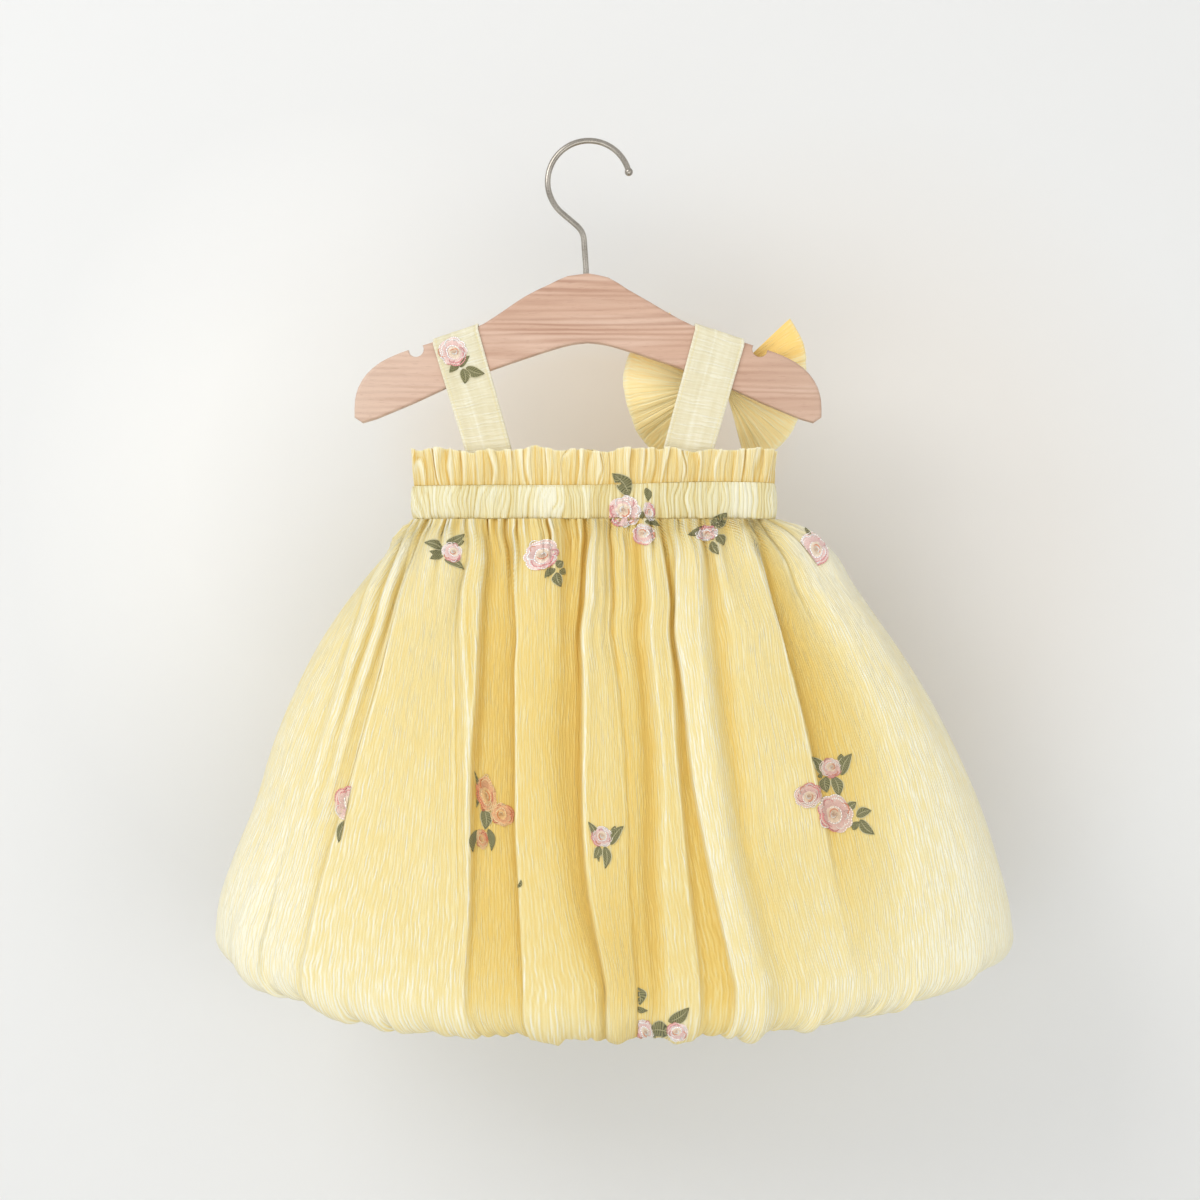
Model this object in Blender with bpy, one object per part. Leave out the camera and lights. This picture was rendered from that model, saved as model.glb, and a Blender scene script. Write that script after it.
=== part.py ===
"""A toddler's bubble-hem sundress hanging on a small wooden hanger, as closed solids, one for each piece.

Metres, +Z up. The origin is the inside of the hook's top, where a rail carries it. The back of the dress
faces -Y, and +X is to the right of someone who looks at that back. The tables are in millimetres.

The skirt's cloth runs down from the casing, turns under in a soft roll and comes back up inside, where a
narrow gathered casing holds it. A row of points goes round the dress, and its turn is 0 at the left side
seam, 0.25 at the middle of the back, 0.5 at the right side seam and 0.75 at the middle of the front.
"""

import math

import bmesh
import bpy
import numpy as np
from mathutils import Matrix

MM = 0.001

# --- Driving dimensions -------------------------------------------------------------------------------
SEAM_GAP = 0.3 * MM  # between any two pieces that are sewn or rest together

HANGER_THICKNESS = 12 * MM
HANGER_EDGE = 1.5 * MM  # the rounding of the wood's edges
SWELL_X = 40 * MM  # the fuller cut of the left shoulder: how far out it is highest
SWELL_REACH = 40 * MM
SWELL_HEIGHT = 4 * MM
NOTCH_X = 110.5 * MM
NOTCH_RADIUS = 5 * MM
NOTCH_SINK = 1.2 * MM  # how far the notch's centre lies below the top edge

WIRE_RADIUS = 1.9 * MM
HOOK_RADIUS = 26.5 * MM  # to the middle of the wire
HOOK_CENTRE_X = 0.5 * MM
HOOK_OPENING = math.radians(14)  # the wire's free end, above the level of the ring's centre
HOOK_LEAVES = math.radians(230)  # where the ring ends and the wire runs to the stem
HOOK_BEND = (-3.0 * MM, -56.4 * MM)  # x and z of the corner between that run and the stem
HOOK_TIP_RADIUS = 2.7 * MM
STEM_FOOT_X = -1.3 * MM
STEM_DEPTH = 14 * MM  # of the stem's end below the top of the wood

DRESS_X = 3.9 * MM  # the middle of the bodice, to the right of the hanger's middle
BODICE_HALF_WIDTH = 115 * MM
BODICE_HALF_DEPTH = 20 * MM
FRILL_TOP_Z = -197.5 * MM
CASING_TOP_Z = -220.4 * MM
WAIST_Z = -241.8 * MM
CASING_WALL = 2.6 * MM
CASING_PLEATS = 30  # on each side of the dress
CASING_PLEAT_DEPTH = 0.8 * MM
CASING_BELLY = 0.9 * MM  # how far the elastic's middle swells past its edges
FRILL_WALL = 1.4 * MM
FRILL_WAVES = 22  # on each side
FRILL_WAVE_DEPTH = 2.1 * MM
FRILL_FOOT_SHARE = 0.35  # how deep the waves still are at the casing
FRILL_LEVELS = (1.0, 0.45, 0.0)  # shares of its height
FRILL_FLARE = 1.6 * MM
FRILL_EDGE_RISE = 1.6 * MM  # how much the frill's top edge goes up and down

SKIRT_WALL = 1.4 * MM
HEM_Z = -568.5 * MM  # the lowest line of the bubble, at the middle
HEM_SIDE_LIFT = 40 * MM  # how much higher that line is at the side seams
ROLL_START = 0.93  # share of the way down at which the cloth starts to turn under
ROLL_INSET_X = 44 * MM
ROLL_INSET_Y = 26 * MM
TURN_UP = 47.5 * MM  # from the level of the roll's centre up to the sewn edge inside
TURN_UP_INSET = 7 * MM
WAIST_GATHERS = 18  # on each side
WAIST_GATHER_DEPTH = 2.0 * MM
WAIST_GATHERS_END = 0.2  # share of the way down at which they have smoothed out
HEM_GATHERS = 12  # on each side
HEM_GATHER_DEPTH = 2.2 * MM
LEVEL_ROWS = 0.06  # the first rows, whose wall is level so that it meets the casing squarely
HEM_CASING_WALL = 2.2 * MM
HEM_CASING_HEIGHT = 10 * MM
RIDGES_END = 1.9  # the row, counted as in skirt_base, at which the large folds have faded out
HEM_GATHERS_START = 0.86  # the row at which the hem's gathers start, and over how many they grow
HEM_GATHERS_GROW = 0.6
CENTRE_SEAM_TURN = 0.264  # the back's middle seam, a little right of the middle

STRAP_WALL = 1.4 * MM
STRAP_FOOT_Z = -236 * MM
STRAP_SHOULDER = 2 * MM  # from the board's top edge down to where the strap starts to bend over it
STRAP_RISE = 3.8 * MM  # from there up to the middle of the strap's cloth, over the board
STRAP_OVER_ANGLES = (-90, -55, -25, 25, 55, 90)
STRAP_LEG_SHARES = (1.0, 0.86, 0.74, 0.62, 0.5, 0.38, 0.26, 0.12)
STRAP_SPREADS = (0.45, 0.85)  # shares of a leg between which it moves out to the casing
STRAP_LEANS_TO = 0.65  # share of a strap's leg at which it reaches its foot's x
STRAP_STANDS_IN = 3.0 * MM  # from the bodice's oval in to the middle of the strap
STRAP_CLEAR = HANGER_THICKNESS / 2 + SEAM_GAP + STRAP_WALL / 2

BOW_X = 82 * MM
BOW_Y = 19.5 * MM
BOW_Z = -155 * MM
BOW_KNOT = (15 * MM, 14 * MM, 20 * MM)
BOW_WALL = 1.2 * MM
BOW_HALF_PUFF = 8 * MM
BOW_ROOT_PUFF = 0.3  # share of that puff at the knot
BOW_ROOT_HALF_HEIGHT = 6 * MM
BOW_PLEATS = 6  # on each loop
BOW_PLEAT_DEPTH = 1.3 * MM
BOW_LEAN = 0.62  # how much the loops' lower parts stand out, over the frill
BOW_LEAN_BEND = 14 * MM
BOW_ROUNDS = (0, 14, 32, 52, 72, 90, 108, 128, 148, 166, 180)  # degrees round a loop's section

SQUARENESS = 2.3  # of every oval round the dress: 2 is an ellipse
SIDE_COLUMNS = 72  # of the skirt's points, on each side of the dress
SKIRT_ROWS = (0, 0.04, 0.11, 0.21, 0.34, 0.5, 0.67, 0.84, 1.0, 1.22, 1.45, 1.7, 2.0, 3.0)

# --- Tables, in millimetres ---------------------------------------------------------------------------
# The hanger's right half: its upper edge from the middle out and down to the foot of its end, and its
# lower edge.
HANGER_TOP = (
    # x, z
    (0.0, -83.9), (13.0, -86.6), (25.5, -94.2), (40.2, -102.6), (50.1, -108.5), (66.8, -117.2),
    (84.0, -123.0), (100.4, -128.4), (116.0, -133.4), (124.0, -136.4), (133.8, -141.4),
    (142.2, -148.6), (147.6, -157.3), (149.7, -165.4), (150.0, -176.5),
)
HANGER_BOTTOM = (
    # x, z
    (0.0, -128.3), (10.0, -129.4), (20.5, -132.1), (37.3, -137.5), (59.0, -144.9), (89.5, -156.8),
    (135.8, -177.2), (145.0, -179.9),
)

# The skirt's outline. Down is the share of the way from the waist seam to the lowest line of the hem.
SKIRT_PROFILE = (
    # down, left reach, right reach, half depth
    (0.000, 111.1, 118.9, 20.0),
    (0.022, 118.0, 132.0, 24.0),
    (0.072, 130.5, 155.0, 32.0),
    (0.146, 147.0, 170.0, 41.0),
    (0.250, 168.0, 192.0, 50.0),
    (0.370, 188.5, 214.5, 56.5),
    (0.500, 206.0, 234.5, 61.0),
    (0.640, 220.5, 252.0, 64.0),
    (0.765, 231.0, 263.5, 65.5),
    (0.850, 237.0, 270.0, 66.0),
    (0.930, 239.8, 273.2, 66.0),
)

# The largest folds. Each row is one ridge of cloth: where its left and right edges lie at the waist, half
# way down and at the hem, how far it stands out at those heights, and how softly each edge falls away.
BACK_RIDGES = (
    # left edge x,              right edge x,             rise,               soft left, soft right
    ((-114, -196, -221), (-104, -158, -188), (3.0, 5.0, 4.0), 12, 9),
    ((-102, -142, -180), (-78, -76, -76), (5.0, 9.0, 7.0), 5, 5),
    ((-75, -75, -75), (-64, -64, -69), (5.0, 8.0, 3.0), 3, 4),
    ((-51, -45, -45), (-20, -14, -26), (6.0, 10.0, 8.0), 3, 7),
    ((1, 0, 8), (13, 20, 31), (6.0, 8.0, 6.0), 4, 3),
    ((16, 23, 33), (49, 59, 75), (6.0, 8.0, 8.0), 3, 6),
    ((54, 68, 97), (74, 88, 116), (6.0, 9.0, 9.0), 3, 8),
    ((86, 100, 133), (110, 136, 172), (6.0, 11.0, 5.0), 8, 5),
    ((124, 166, 199), (135, 221, 258), (4.0, 8.0, 5.0), 9, 14),
)
FRONT_RIDGES = (
    ((-116, -192, -219), (-100, -154, -182), (3.0, 6.0, 4.0), 12, 9),
    ((-92, -132, -160), (-71, -98, -120), (5.0, 9.0, 6.0), 5, 7),
    ((-62, -80, -98), (-42, -50, -58), (6.0, 9.0, 8.0), 4, 5),
    ((-34, -32, -36), (-12, -4, 2), (6.0, 10.0, 8.0), 3, 9),
    ((2, 14, 20), (24, 38, 44), (5.0, 7.0, 7.0), 5, 4),
    ((34, 50, 62), (52, 82, 100), (6.0, 10.0, 8.0), 4, 9),
    ((64, 98, 120), (88, 132, 160), (6.0, 9.0, 6.0), 6, 6),
    ((98, 150, 182), (120, 196, 232), (4.0, 8.0, 5.0), 9, 13),
)
RIDGE_MIDDLE = 0.45  # share of the way down at which a ridge's middle numbers hold
RIDGE_LOW = 0.90

# How the waves bunch and spread along their edge, as sines added to their phase.
FRILL_DRIFT = (
    # amount, times round the dress, phase
    (0.35, 5, 0.0),
    (0.20, 13, 1.0),
)
WAIST_DRIFT = ((0.5, 6, 0.0), (0.3, 11, 2.0))
HEM_DRIFT = ((0.9, 4, 1.0), (0.4, 9, 0.0))
FRILL_EDGE = ((0.5, 7, 0.0), (0.5, 17, 2.0))

# Each strap: where it is sewn to the casing and where it crosses the hanger.
STRAPS = {
    # name: foot x, crossing x, half width
    "strap_left": (-64.0, -85.0, 14.5),
    "strap_right": (64.5, 84.5, 15.8),
}

# Each bow loop's outer edge: the angle above the horizontal and the distance from the knot's middle.
BOW_LOOPS = {
    # name: side, (angle, reach) from its lowest point to its highest
    "bow_loop_left": (-1, ((-62, 56.0), (-34, 58.0), (-16, 57.7), (6, 59.6), (34, 59.0), (59, 57.0))),
    "bow_loop_right": (1, ((-66, 50.0), (-44, 57.4), (-22, 58.6), (6, 60.0), (24, 63.0), (42, 65.0))),
}

MATERIALS = {
    # name: base colour, roughness, metallic
    "skirt_cloth": ((0.93, 0.83, 0.50), 0.85, 0.0),
    "casing_cloth": ((0.92, 0.86, 0.58), 0.85, 0.0),
    "frill_cloth": ((0.90, 0.80, 0.48), 0.85, 0.0),
    "strap_cloth": ((0.93, 0.88, 0.66), 0.85, 0.0),
    "bow_cloth": ((0.90, 0.77, 0.43), 0.85, 0.0),
    "board_wood": ((0.66, 0.46, 0.33), 0.55, 0.0),
    "hook_wire": ((0.52, 0.50, 0.47), 0.3, 1.0),
}


# --- Small maths --------------------------------------------------------------------------------------
def eased(share):
    """0 to 1 with flat ends."""
    share = np.clip(share, 0, 1)
    return share * share * (3 - 2 * share)


def column(table, index):
    """One column of a table, in its own units."""
    return np.array([row[index] for row in table], float)


def curve_at(at, known_at, values):
    """A smooth curve through the known values, without the kinks of straight runs between them."""
    known_at, values = np.asarray(known_at, float), np.asarray(values, float)
    slopes = np.gradient(values, known_at)
    at = np.clip(at, known_at[0], known_at[-1])
    i = np.clip(np.searchsorted(known_at, at, side="right") - 1, 0, len(known_at) - 2)
    span = known_at[i + 1] - known_at[i]
    t = (at - known_at[i]) / span
    start = (1 + 2 * t) * (1 - t) ** 2 * values[i] + t * (1 - t) ** 2 * span * slopes[i]
    end = t * t * (3 - 2 * t) * values[i + 1] + t * t * (t - 1) * span * slopes[i + 1]
    return start + end


def drift(turns, table):
    """The sum of a table's sines at these shares of the way round."""
    return sum(amount * np.sin(2 * math.pi * times * turns + phase) for amount, times, phase in table)


def oval(half_width, half_depth, turns):
    """(x, y) of points at these shares of an oval's girth, and the girth."""
    angle = np.linspace(0, 2 * math.pi, 721)
    c, s = np.cos(angle), np.sin(angle)
    x = -half_width * np.sign(c) * np.abs(c) ** (2 / SQUARENESS)
    y = -half_depth * np.sign(s) * np.abs(s) ** (2 / SQUARENESS)
    along = np.concatenate([[0], np.cumsum(np.hypot(np.diff(x), np.diff(y)))])
    at = np.asarray(turns) % 1.0 * along[-1]
    return np.interp(at, along, x), np.interp(at, along, y), along[-1]


def normals_of(grid, around):
    """Unit normals of a grid of points: rows run down the cloth, columns run round it."""
    down = np.gradient(grid, axis=0)
    if around:
        across = np.roll(grid, -1, axis=1) - np.roll(grid, 1, axis=1)
    else:
        across = np.gradient(grid, axis=1)
    normal = np.cross(down, across)
    return normal / np.linalg.norm(normal, axis=2, keepdims=True)


# --- Meshes -------------------------------------------------------------------------------------------
def material(name):
    made = bpy.data.materials.get(name)
    if made is None:
        colour, roughness, metallic = MATERIALS[name]
        made = bpy.data.materials.new(name)
        made.use_nodes = True
        shader = made.node_tree.nodes["Principled BSDF"]
        shader.inputs["Base Color"].default_value = (*colour, 1)
        shader.inputs["Roughness"].default_value = roughness
        shader.inputs["Metallic"].default_value = metallic
    return made


def add_object(name, mesh, material_name):
    made = bpy.data.objects.new(name, mesh)
    mesh.materials.append(material(material_name))
    bpy.context.scene.collection.objects.link(made)
    return made


def mesh_from(bm, name, sharp_angle=math.radians(40)):
    bmesh.ops.recalc_face_normals(bm, faces=bm.faces)
    mesh = bpy.data.meshes.new(name)
    bm.to_mesh(mesh)
    bm.free()
    mesh.shade_smooth()
    mesh.set_sharp_from_angle(angle=sharp_angle)
    return mesh


def grid_faces(bm, grid, around):
    """Adds a grid of points and the faces between them, and returns the vertices, row by row."""
    vertices = [[bm.verts.new(point) for point in row] for row in grid]
    for upper, lower in zip(vertices, vertices[1:]):
        for j in range(len(upper) - (not around)):
            k = (j + 1) % len(upper)
            bm.faces.new((upper[j], lower[j], lower[k], upper[k]))
    return vertices


def cloth_wall(name, outer, inner, material_name, around=False):
    """A closed wall of cloth between an outer and an inner grid of the same size."""
    bm = bmesh.new()
    a = grid_faces(bm, outer, around)
    b = grid_faces(bm, inner[:, ::-1], around)
    b = [row[::-1] for row in b]
    edges = [(a[0], b[0]), (a[-1], b[-1])]
    if not around:
        edges += [([row[j] for row in a], [row[j] for row in b]) for j in (0, -1)]
    for out, back in edges:
        for j in range(len(out) - 1 + (around and len(out) == len(a[0]))):
            k = (j + 1) % len(out)
            bm.faces.new((out[j], out[k], back[k], back[j]))
    return add_object(name, mesh_from(bm, name), material_name)


def panel(name, outer, inner, first, last, material_name):
    """The part of two closed grids from one column to another, drawn back a little from its seams."""
    parts = []
    for grid in (outer, inner):
        columns = np.arange(first, last + 1) % grid.shape[1]
        part = grid[:, columns].copy()
        for end, next_in in ((0, 1), (-1, -2)):
            way = part[:, next_in] - part[:, end]
            step = SEAM_GAP / 2 / np.linalg.norm(way, axis=1, keepdims=True)
            part[:, end] += way * step
        parts.append(part)
    return cloth_wall(name, *parts, material_name)


# --- The hanger ---------------------------------------------------------------------------------------
def left_swell(x):
    """How much fuller the board's left shoulder is cut than its right one."""
    share = np.clip((-x - SWELL_X + SWELL_REACH) / (2 * SWELL_REACH), 0, 1)
    return SWELL_HEIGHT * np.sin(math.pi * share) ** 2


def hanger_top(x):
    """Height of the wood's upper edge at x, in metres."""
    table = HANGER_TOP[:-4]
    return curve_at(np.abs(x) / MM, column(table, 0), column(table, 1)) * MM + left_swell(x)


def smooth_outline(points, steps=3):
    """The table's points with others between them on a smooth curve, as metres."""
    points = np.array(points, float) * MM
    along = np.concatenate([[0], np.cumsum(np.linalg.norm(np.diff(points, axis=0), axis=1))])
    at = np.interp(np.arange((len(points) - 1) * steps + 1) / steps, np.arange(len(points)), along)
    return np.stack([curve_at(at, along, points[:, k]) for k in (0, 1)], axis=1)


def cutter(name, bm):
    made = add_object(name, mesh_from(bm, name), "board_wood")
    made.hide_render = True
    made.display_type = "WIRE"
    return made


def cut(target, tool):
    modifier = target.modifiers.new(tool.name, "BOOLEAN")
    modifier.operation = "DIFFERENCE"
    modifier.object = tool


def rod_mesh(radius, length, segments):
    """A round bar along Z with its middle at the origin."""
    bm = bmesh.new()
    bmesh.ops.create_cone(
        bm, cap_ends=True, segments=segments, radius1=radius, radius2=radius, depth=length
    )
    return bm


def add_hanger_body():
    top, bottom = smooth_outline(HANGER_TOP, 2), smooth_outline(HANGER_BOTTOM, 2)
    half = np.concatenate([top, bottom[::-1]])
    left_top, left_bottom = top[1:] * (-1, 1), bottom[1:] * (-1, 1)
    left_top[:, 1] += left_swell(left_top[:, 0])
    outline = np.concatenate([half, left_bottom, left_top[::-1]])
    bm = bmesh.new()
    half_thickness = HANGER_THICKNESS / 2
    face = bm.faces.new([bm.verts.new((x, -half_thickness, z)) for x, z in outline])
    moved = bmesh.ops.extrude_face_region(bm, geom=[face])["geom"]
    corners = [item for item in moved if isinstance(item, bmesh.types.BMVert)]
    bmesh.ops.translate(bm, verts=corners, vec=(0, HANGER_THICKNESS, 0))
    rims = [edge for edge in bm.edges if abs(edge.verts[0].co.y - edge.verts[1].co.y) < 1e-6]
    bmesh.ops.bevel(bm, geom=rims, offset=HANGER_EDGE, segments=2, profile=0.5, affect="EDGES")
    body = add_object("hanger_body", mesh_from(bm, "hanger_body"), "board_wood")

    for side, label in ((-1, "left"), (1, "right")):
        notch = rod_mesh(NOTCH_RADIUS, HANGER_THICKNESS * 2, 20)
        turn = Matrix.Rotation(math.pi / 2, 3, "X")
        bmesh.ops.rotate(notch, verts=notch.verts, cent=(0, 0, 0), matrix=turn)
        tool = cutter("notch_cutter_" + label, notch)
        tool.location = (side * NOTCH_X, 0, float(hanger_top(NOTCH_X)) - NOTCH_SINK)
        cut(body, tool)

    socket = rod_mesh(WIRE_RADIUS + SEAM_GAP, STEM_DEPTH * 2, 16)
    tool = cutter("socket_cutter", socket)
    tool.location = (STEM_FOOT_X, 0, HANGER_TOP[0][1] * MM)
    cut(body, tool)


def hook_line():
    """The middle of the hook's wire, from its free end round to the stem's foot, as (x, z)."""
    centre_z = WIRE_RADIUS - HOOK_RADIUS
    angles = np.linspace(HOOK_OPENING, HOOK_LEAVES, 26)
    ring = np.stack(
        [HOOK_CENTRE_X + HOOK_RADIUS * np.cos(angles), centre_z + HOOK_RADIUS * np.sin(angles)],
        axis=1,
    )
    bend, wood_top = np.array(HOOK_BEND), HANGER_TOP[0][1] * MM
    enters = np.array([STEM_FOOT_X, wood_top + 3 * MM])
    foot = np.array([STEM_FOOT_X, wood_top - STEM_DEPTH + SEAM_GAP])
    into, out = bend - ring[-1], enters - bend
    reach = 6 * MM
    start = bend - into / np.linalg.norm(into) * reach
    end = bend + out / np.linalg.norm(out) * reach
    t = np.linspace(0, 1, 6)[:, None]
    corner = (1 - t) ** 2 * start + 2 * t * (1 - t) * bend + t * t * end
    return np.concatenate([ring, corner, [enters, foot]])


def add_hook():
    line = hook_line()
    curve = bpy.data.curves.new("hook_wire", "CURVE")
    curve.dimensions = "3D"
    curve.bevel_depth = WIRE_RADIUS
    curve.bevel_resolution = 2
    curve.use_fill_caps = True
    spline = curve.splines.new("POLY")
    spline.points.add(len(line) - 1)
    for point, (x, z) in zip(spline.points, line):
        point.co = (x, 0, z, 1)
    wire = bpy.data.objects.new("hook_wire", curve)
    bpy.context.scene.collection.objects.link(wire)
    mesh = bpy.data.meshes.new_from_object(wire)
    bpy.data.objects.remove(wire)
    bm = bmesh.new()
    bm.from_mesh(mesh)
    bmesh.ops.remove_doubles(bm, verts=bm.verts, dist=0.001 * MM)
    hook = add_object("hanger_hook", mesh_from(bm, "hanger_hook"), "hook_wire")

    ball = bmesh.new()
    bmesh.ops.create_uvsphere(ball, u_segments=12, v_segments=8, radius=HOOK_TIP_RADIUS)
    tip = cutter("hook_tip", ball)
    tip.location = (line[0, 0], 0, line[0, 1])
    modifier = hook.modifiers.new("tip", "BOOLEAN")
    modifier.operation = "UNION"
    modifier.object = tip


# --- The bodice: a frill over an elastic casing -------------------------------------------------------
def bodice_ring(turns, swell):
    """(points, outward directions) of the bodice's oval, grown by swell."""
    x, y, _ = oval(BODICE_HALF_WIDTH + swell, BODICE_HALF_DEPTH + swell, turns)
    along_x, along_y = np.roll(x, -1) - np.roll(x, 1), np.roll(y, -1) - np.roll(y, 1)
    length = np.hypot(along_x, along_y)
    out = np.stack([along_y / length, -along_x / length, np.zeros(len(x))], axis=1)
    return np.stack([x + DRESS_X, y, np.zeros(len(x))], axis=1), out


def add_casing():
    """The channel that holds the elastic, with a small pleat in its outer face for each gather."""
    columns = 4 * CASING_PLEATS * 2
    turns = np.arange(columns) / columns
    outer, inner = [], []
    for z in (CASING_TOP_Z - SEAM_GAP / 2, WAIST_Z + SEAM_GAP / 2):
        ring, out = bodice_ring(turns, 0)
        ring[:, 2] = z
        pleat = CASING_PLEAT_DEPTH * (0.5 + 0.5 * np.cos(turns * 4 * math.pi * CASING_PLEATS))
        outer.append(ring + out * (CASING_WALL / 2 - CASING_PLEAT_DEPTH + pleat)[:, None])
        inner.append(ring - out * CASING_WALL / 2)
    outer.insert(1, (outer[0] + outer[1]) / 2 + out * CASING_BELLY)
    inner.insert(1, (inner[0] + inner[1]) / 2)
    outer, inner = np.array(outer), np.array(inner)
    panel("casing_back", outer, inner, 0, columns // 2, "casing_cloth")
    panel("casing_front", outer, inner, columns // 2, columns, "casing_cloth")


def waves(turns, count, drifts):
    """-1 to 1: as many waves as this on each side of the dress, unevenly spaced."""
    return np.cos(turns * 4 * math.pi * count + drift(turns, drifts))


def add_frill():
    columns = 4 * FRILL_WAVES * 2
    turns = np.arange(columns) / columns
    wave = waves(turns, FRILL_WAVES, FRILL_DRIFT)
    edge = FRILL_EDGE_RISE * drift(turns, FRILL_EDGE)
    outer, inner = [], []
    for height in FRILL_LEVELS:
        ring, out = bodice_ring(turns, FRILL_FLARE * height)
        ring[:, 2] = CASING_TOP_Z + SEAM_GAP / 2
        ring[:, 2] += (FRILL_TOP_Z - CASING_TOP_Z + edge) * height
        open_out = FRILL_FOOT_SHARE + (1 - FRILL_FOOT_SHARE) * height
        depth = (FRILL_WAVE_DEPTH * open_out * wave)[:, None]
        outer.append(ring + out * (depth + FRILL_WALL / 2))
        inner.append(ring + out * (depth - FRILL_WALL / 2))
    outer, inner = np.array(outer), np.array(inner)
    panel("frill_back", outer, inner, 0, columns // 2, "frill_cloth")
    panel("frill_front", outer, inner, columns // 2, columns, "frill_cloth")


# --- The skirt ----------------------------------------------------------------------------------------
def skirt_size(down):
    """(middle x, half width, half depth) of the skirt at a share of the way down, in metres."""
    known = column(SKIRT_PROFILE, 0)
    left, right, depth = (
        curve_at(down, known, column(SKIRT_PROFILE, k)) * MM for k in (1, 2, 3)
    )
    return (right - left) / 2, (right + left) / 2, depth


def skirt_base(turns, rows):
    """The skirt's surface without its folds. A row from 0 to 1 is on the outside, from 1 to 2 on the roll
    at the hem and from 2 on inside, up to the sewn edge at 3."""
    _, widest, deepest = skirt_size(ROLL_START)
    x, _, _ = oval(widest, deepest, turns)
    drop = WAIST_Z - HEM_Z - HEM_SIDE_LIFT * np.abs(x / widest) ** 3
    roll_height = drop * (1 - ROLL_START)
    grid = []
    for row in rows:
        roll = math.pi * min(max(row - 1, 0), 1)
        up = max(row - 2, 0)
        middle, half_width, half_depth = skirt_size(min(row, 1) * ROLL_START)
        turned = (1 - math.cos(roll)) / 2
        half_width -= ROLL_INSET_X * turned + TURN_UP_INSET * up
        half_depth -= ROLL_INSET_Y * turned + TURN_UP_INSET * up
        x, y, _ = oval(half_width, half_depth, turns)
        z = WAIST_Z - SEAM_GAP / 2 - drop * ROLL_START * min(row, 1)
        z = z - roll_height * math.sin(roll) + TURN_UP * up
        grid.append(np.stack([x + middle, y, z], axis=1))
    return np.array(grid)


def ridge_sum(turns, down):
    """How far the large folds stand out at a share of the way down, in metres."""
    middle, half_width, half_depth = skirt_size(min(down, ROLL_START))
    dense = np.linspace(0, 0.5, 400)
    dense_x, _, girth = oval(half_width, half_depth, dense)
    heights = (0, RIDGE_MIDDLE, RIDGE_LOW)
    total = np.zeros(len(turns))
    for ridges, front in ((BACK_RIDGES, False), (FRONT_RIDGES, True)):
        place = (1 - turns if front else turns) * girth
        for left, right, rise, soft_left, soft_right in ridges:
            edges = []
            for positions, soft, sign in ((left, soft_left, 1), (right, soft_right, -1)):
                x = curve_at(down, heights, positions) * MM - middle
                turn = np.interp(x, dense_x, dense)
                soft = soft * MM * (0.55 + 0.45 * eased(down / RIDGE_MIDDLE))
                edges.append(sign * eased((place - turn * girth) / (2 * soft) + 0.5))
            total += sum(edges) * float(curve_at(down, heights, rise)) * MM
    return total


def skirt_folds(turns, rows):
    """How far the cloth stands out of the plain surface, at each row and column."""
    waist = waves(turns, WAIST_GATHERS, WAIST_DRIFT)
    hem = waves(turns, HEM_GATHERS, HEM_DRIFT)
    folds = []
    for row in rows:
        down = min(row, 1) * ROLL_START
        fading = eased((RIDGES_END - row) / (RIDGES_END - 1))
        gather = eased(1 - down / WAIST_GATHERS_END) * WAIST_GATHER_DEPTH
        turned = eased((row - HEM_GATHERS_START) / HEM_GATHERS_GROW) * HEM_GATHER_DEPTH
        folds.append(ridge_sum(turns, down) * fading + waist * gather + hem * turned)
    return np.array(folds)


def skirt_walls(turns, rows, wall):
    """(outer, inner) grids of the folded cloth."""
    base = skirt_base(turns, rows)
    normal = normals_of(base, around=True)
    normal[:, :, 2] *= eased(np.array(rows) / LEVEL_ROWS)[:, None]
    normal /= np.linalg.norm(normal, axis=2, keepdims=True)
    folds = skirt_folds(turns, rows)[:, :, None]
    return base + normal * (folds + wall / 2), base + normal * (folds - wall / 2)


def add_skirt():
    columns = 2 * SIDE_COLUMNS
    turns = np.arange(columns) / columns
    outer, inner = skirt_walls(turns, SKIRT_ROWS, SKIRT_WALL)
    centre_seam = round(CENTRE_SEAM_TURN * columns)
    panel("skirt_back_left", outer, inner, 0, centre_seam, "skirt_cloth")
    panel("skirt_back_right", outer, inner, centre_seam, columns // 2, "skirt_cloth")
    panel("skirt_front", outer, inner, columns // 2, columns, "skirt_cloth")


def add_hem_casing():
    """The narrow gathered edge inside, which holds the bubble's cloth up."""
    columns = 4 * HEM_GATHERS * 2
    turns = np.arange(columns) / columns
    start = 3 + SEAM_GAP / TURN_UP
    rows = (start, start + HEM_CASING_HEIGHT / TURN_UP)
    outer, inner = skirt_walls(turns, rows, HEM_CASING_WALL)
    cloth_wall("hem_casing", outer, inner, "skirt_cloth", around=True)


# --- The straps ---------------------------------------------------------------------------------------
def casing_depth(x):
    """How far the bodice's oval stands out at x."""
    share = np.clip(np.abs((x - DRESS_X) / BODICE_HALF_WIDTH), 0, 1)
    return BODICE_HALF_DEPTH * (1 - share**SQUARENESS) ** (1 / SQUARENESS)


def strap_leg(strap, across, share):
    """A row of points across a strap, where share is 0 at the hanger's top edge and 1 at the foot."""
    foot_x, crossing_x, half_width = (size * MM for size in strap)
    top_x = crossing_x + across * half_width
    low_x = foot_x + across * half_width
    x = top_x + (low_x - top_x) * min(share / STRAP_LEANS_TO, 1)
    top_z = hanger_top(top_x) - STRAP_SHOULDER
    z = top_z + (STRAP_FOOT_Z - top_z) * share
    sewn = casing_depth(low_x) - STRAP_STANDS_IN
    spread = eased((share - STRAP_SPREADS[0]) / (STRAP_SPREADS[1] - STRAP_SPREADS[0]))
    depth = STRAP_CLEAR + (sewn - STRAP_CLEAR) * spread
    return x, depth, z


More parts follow.
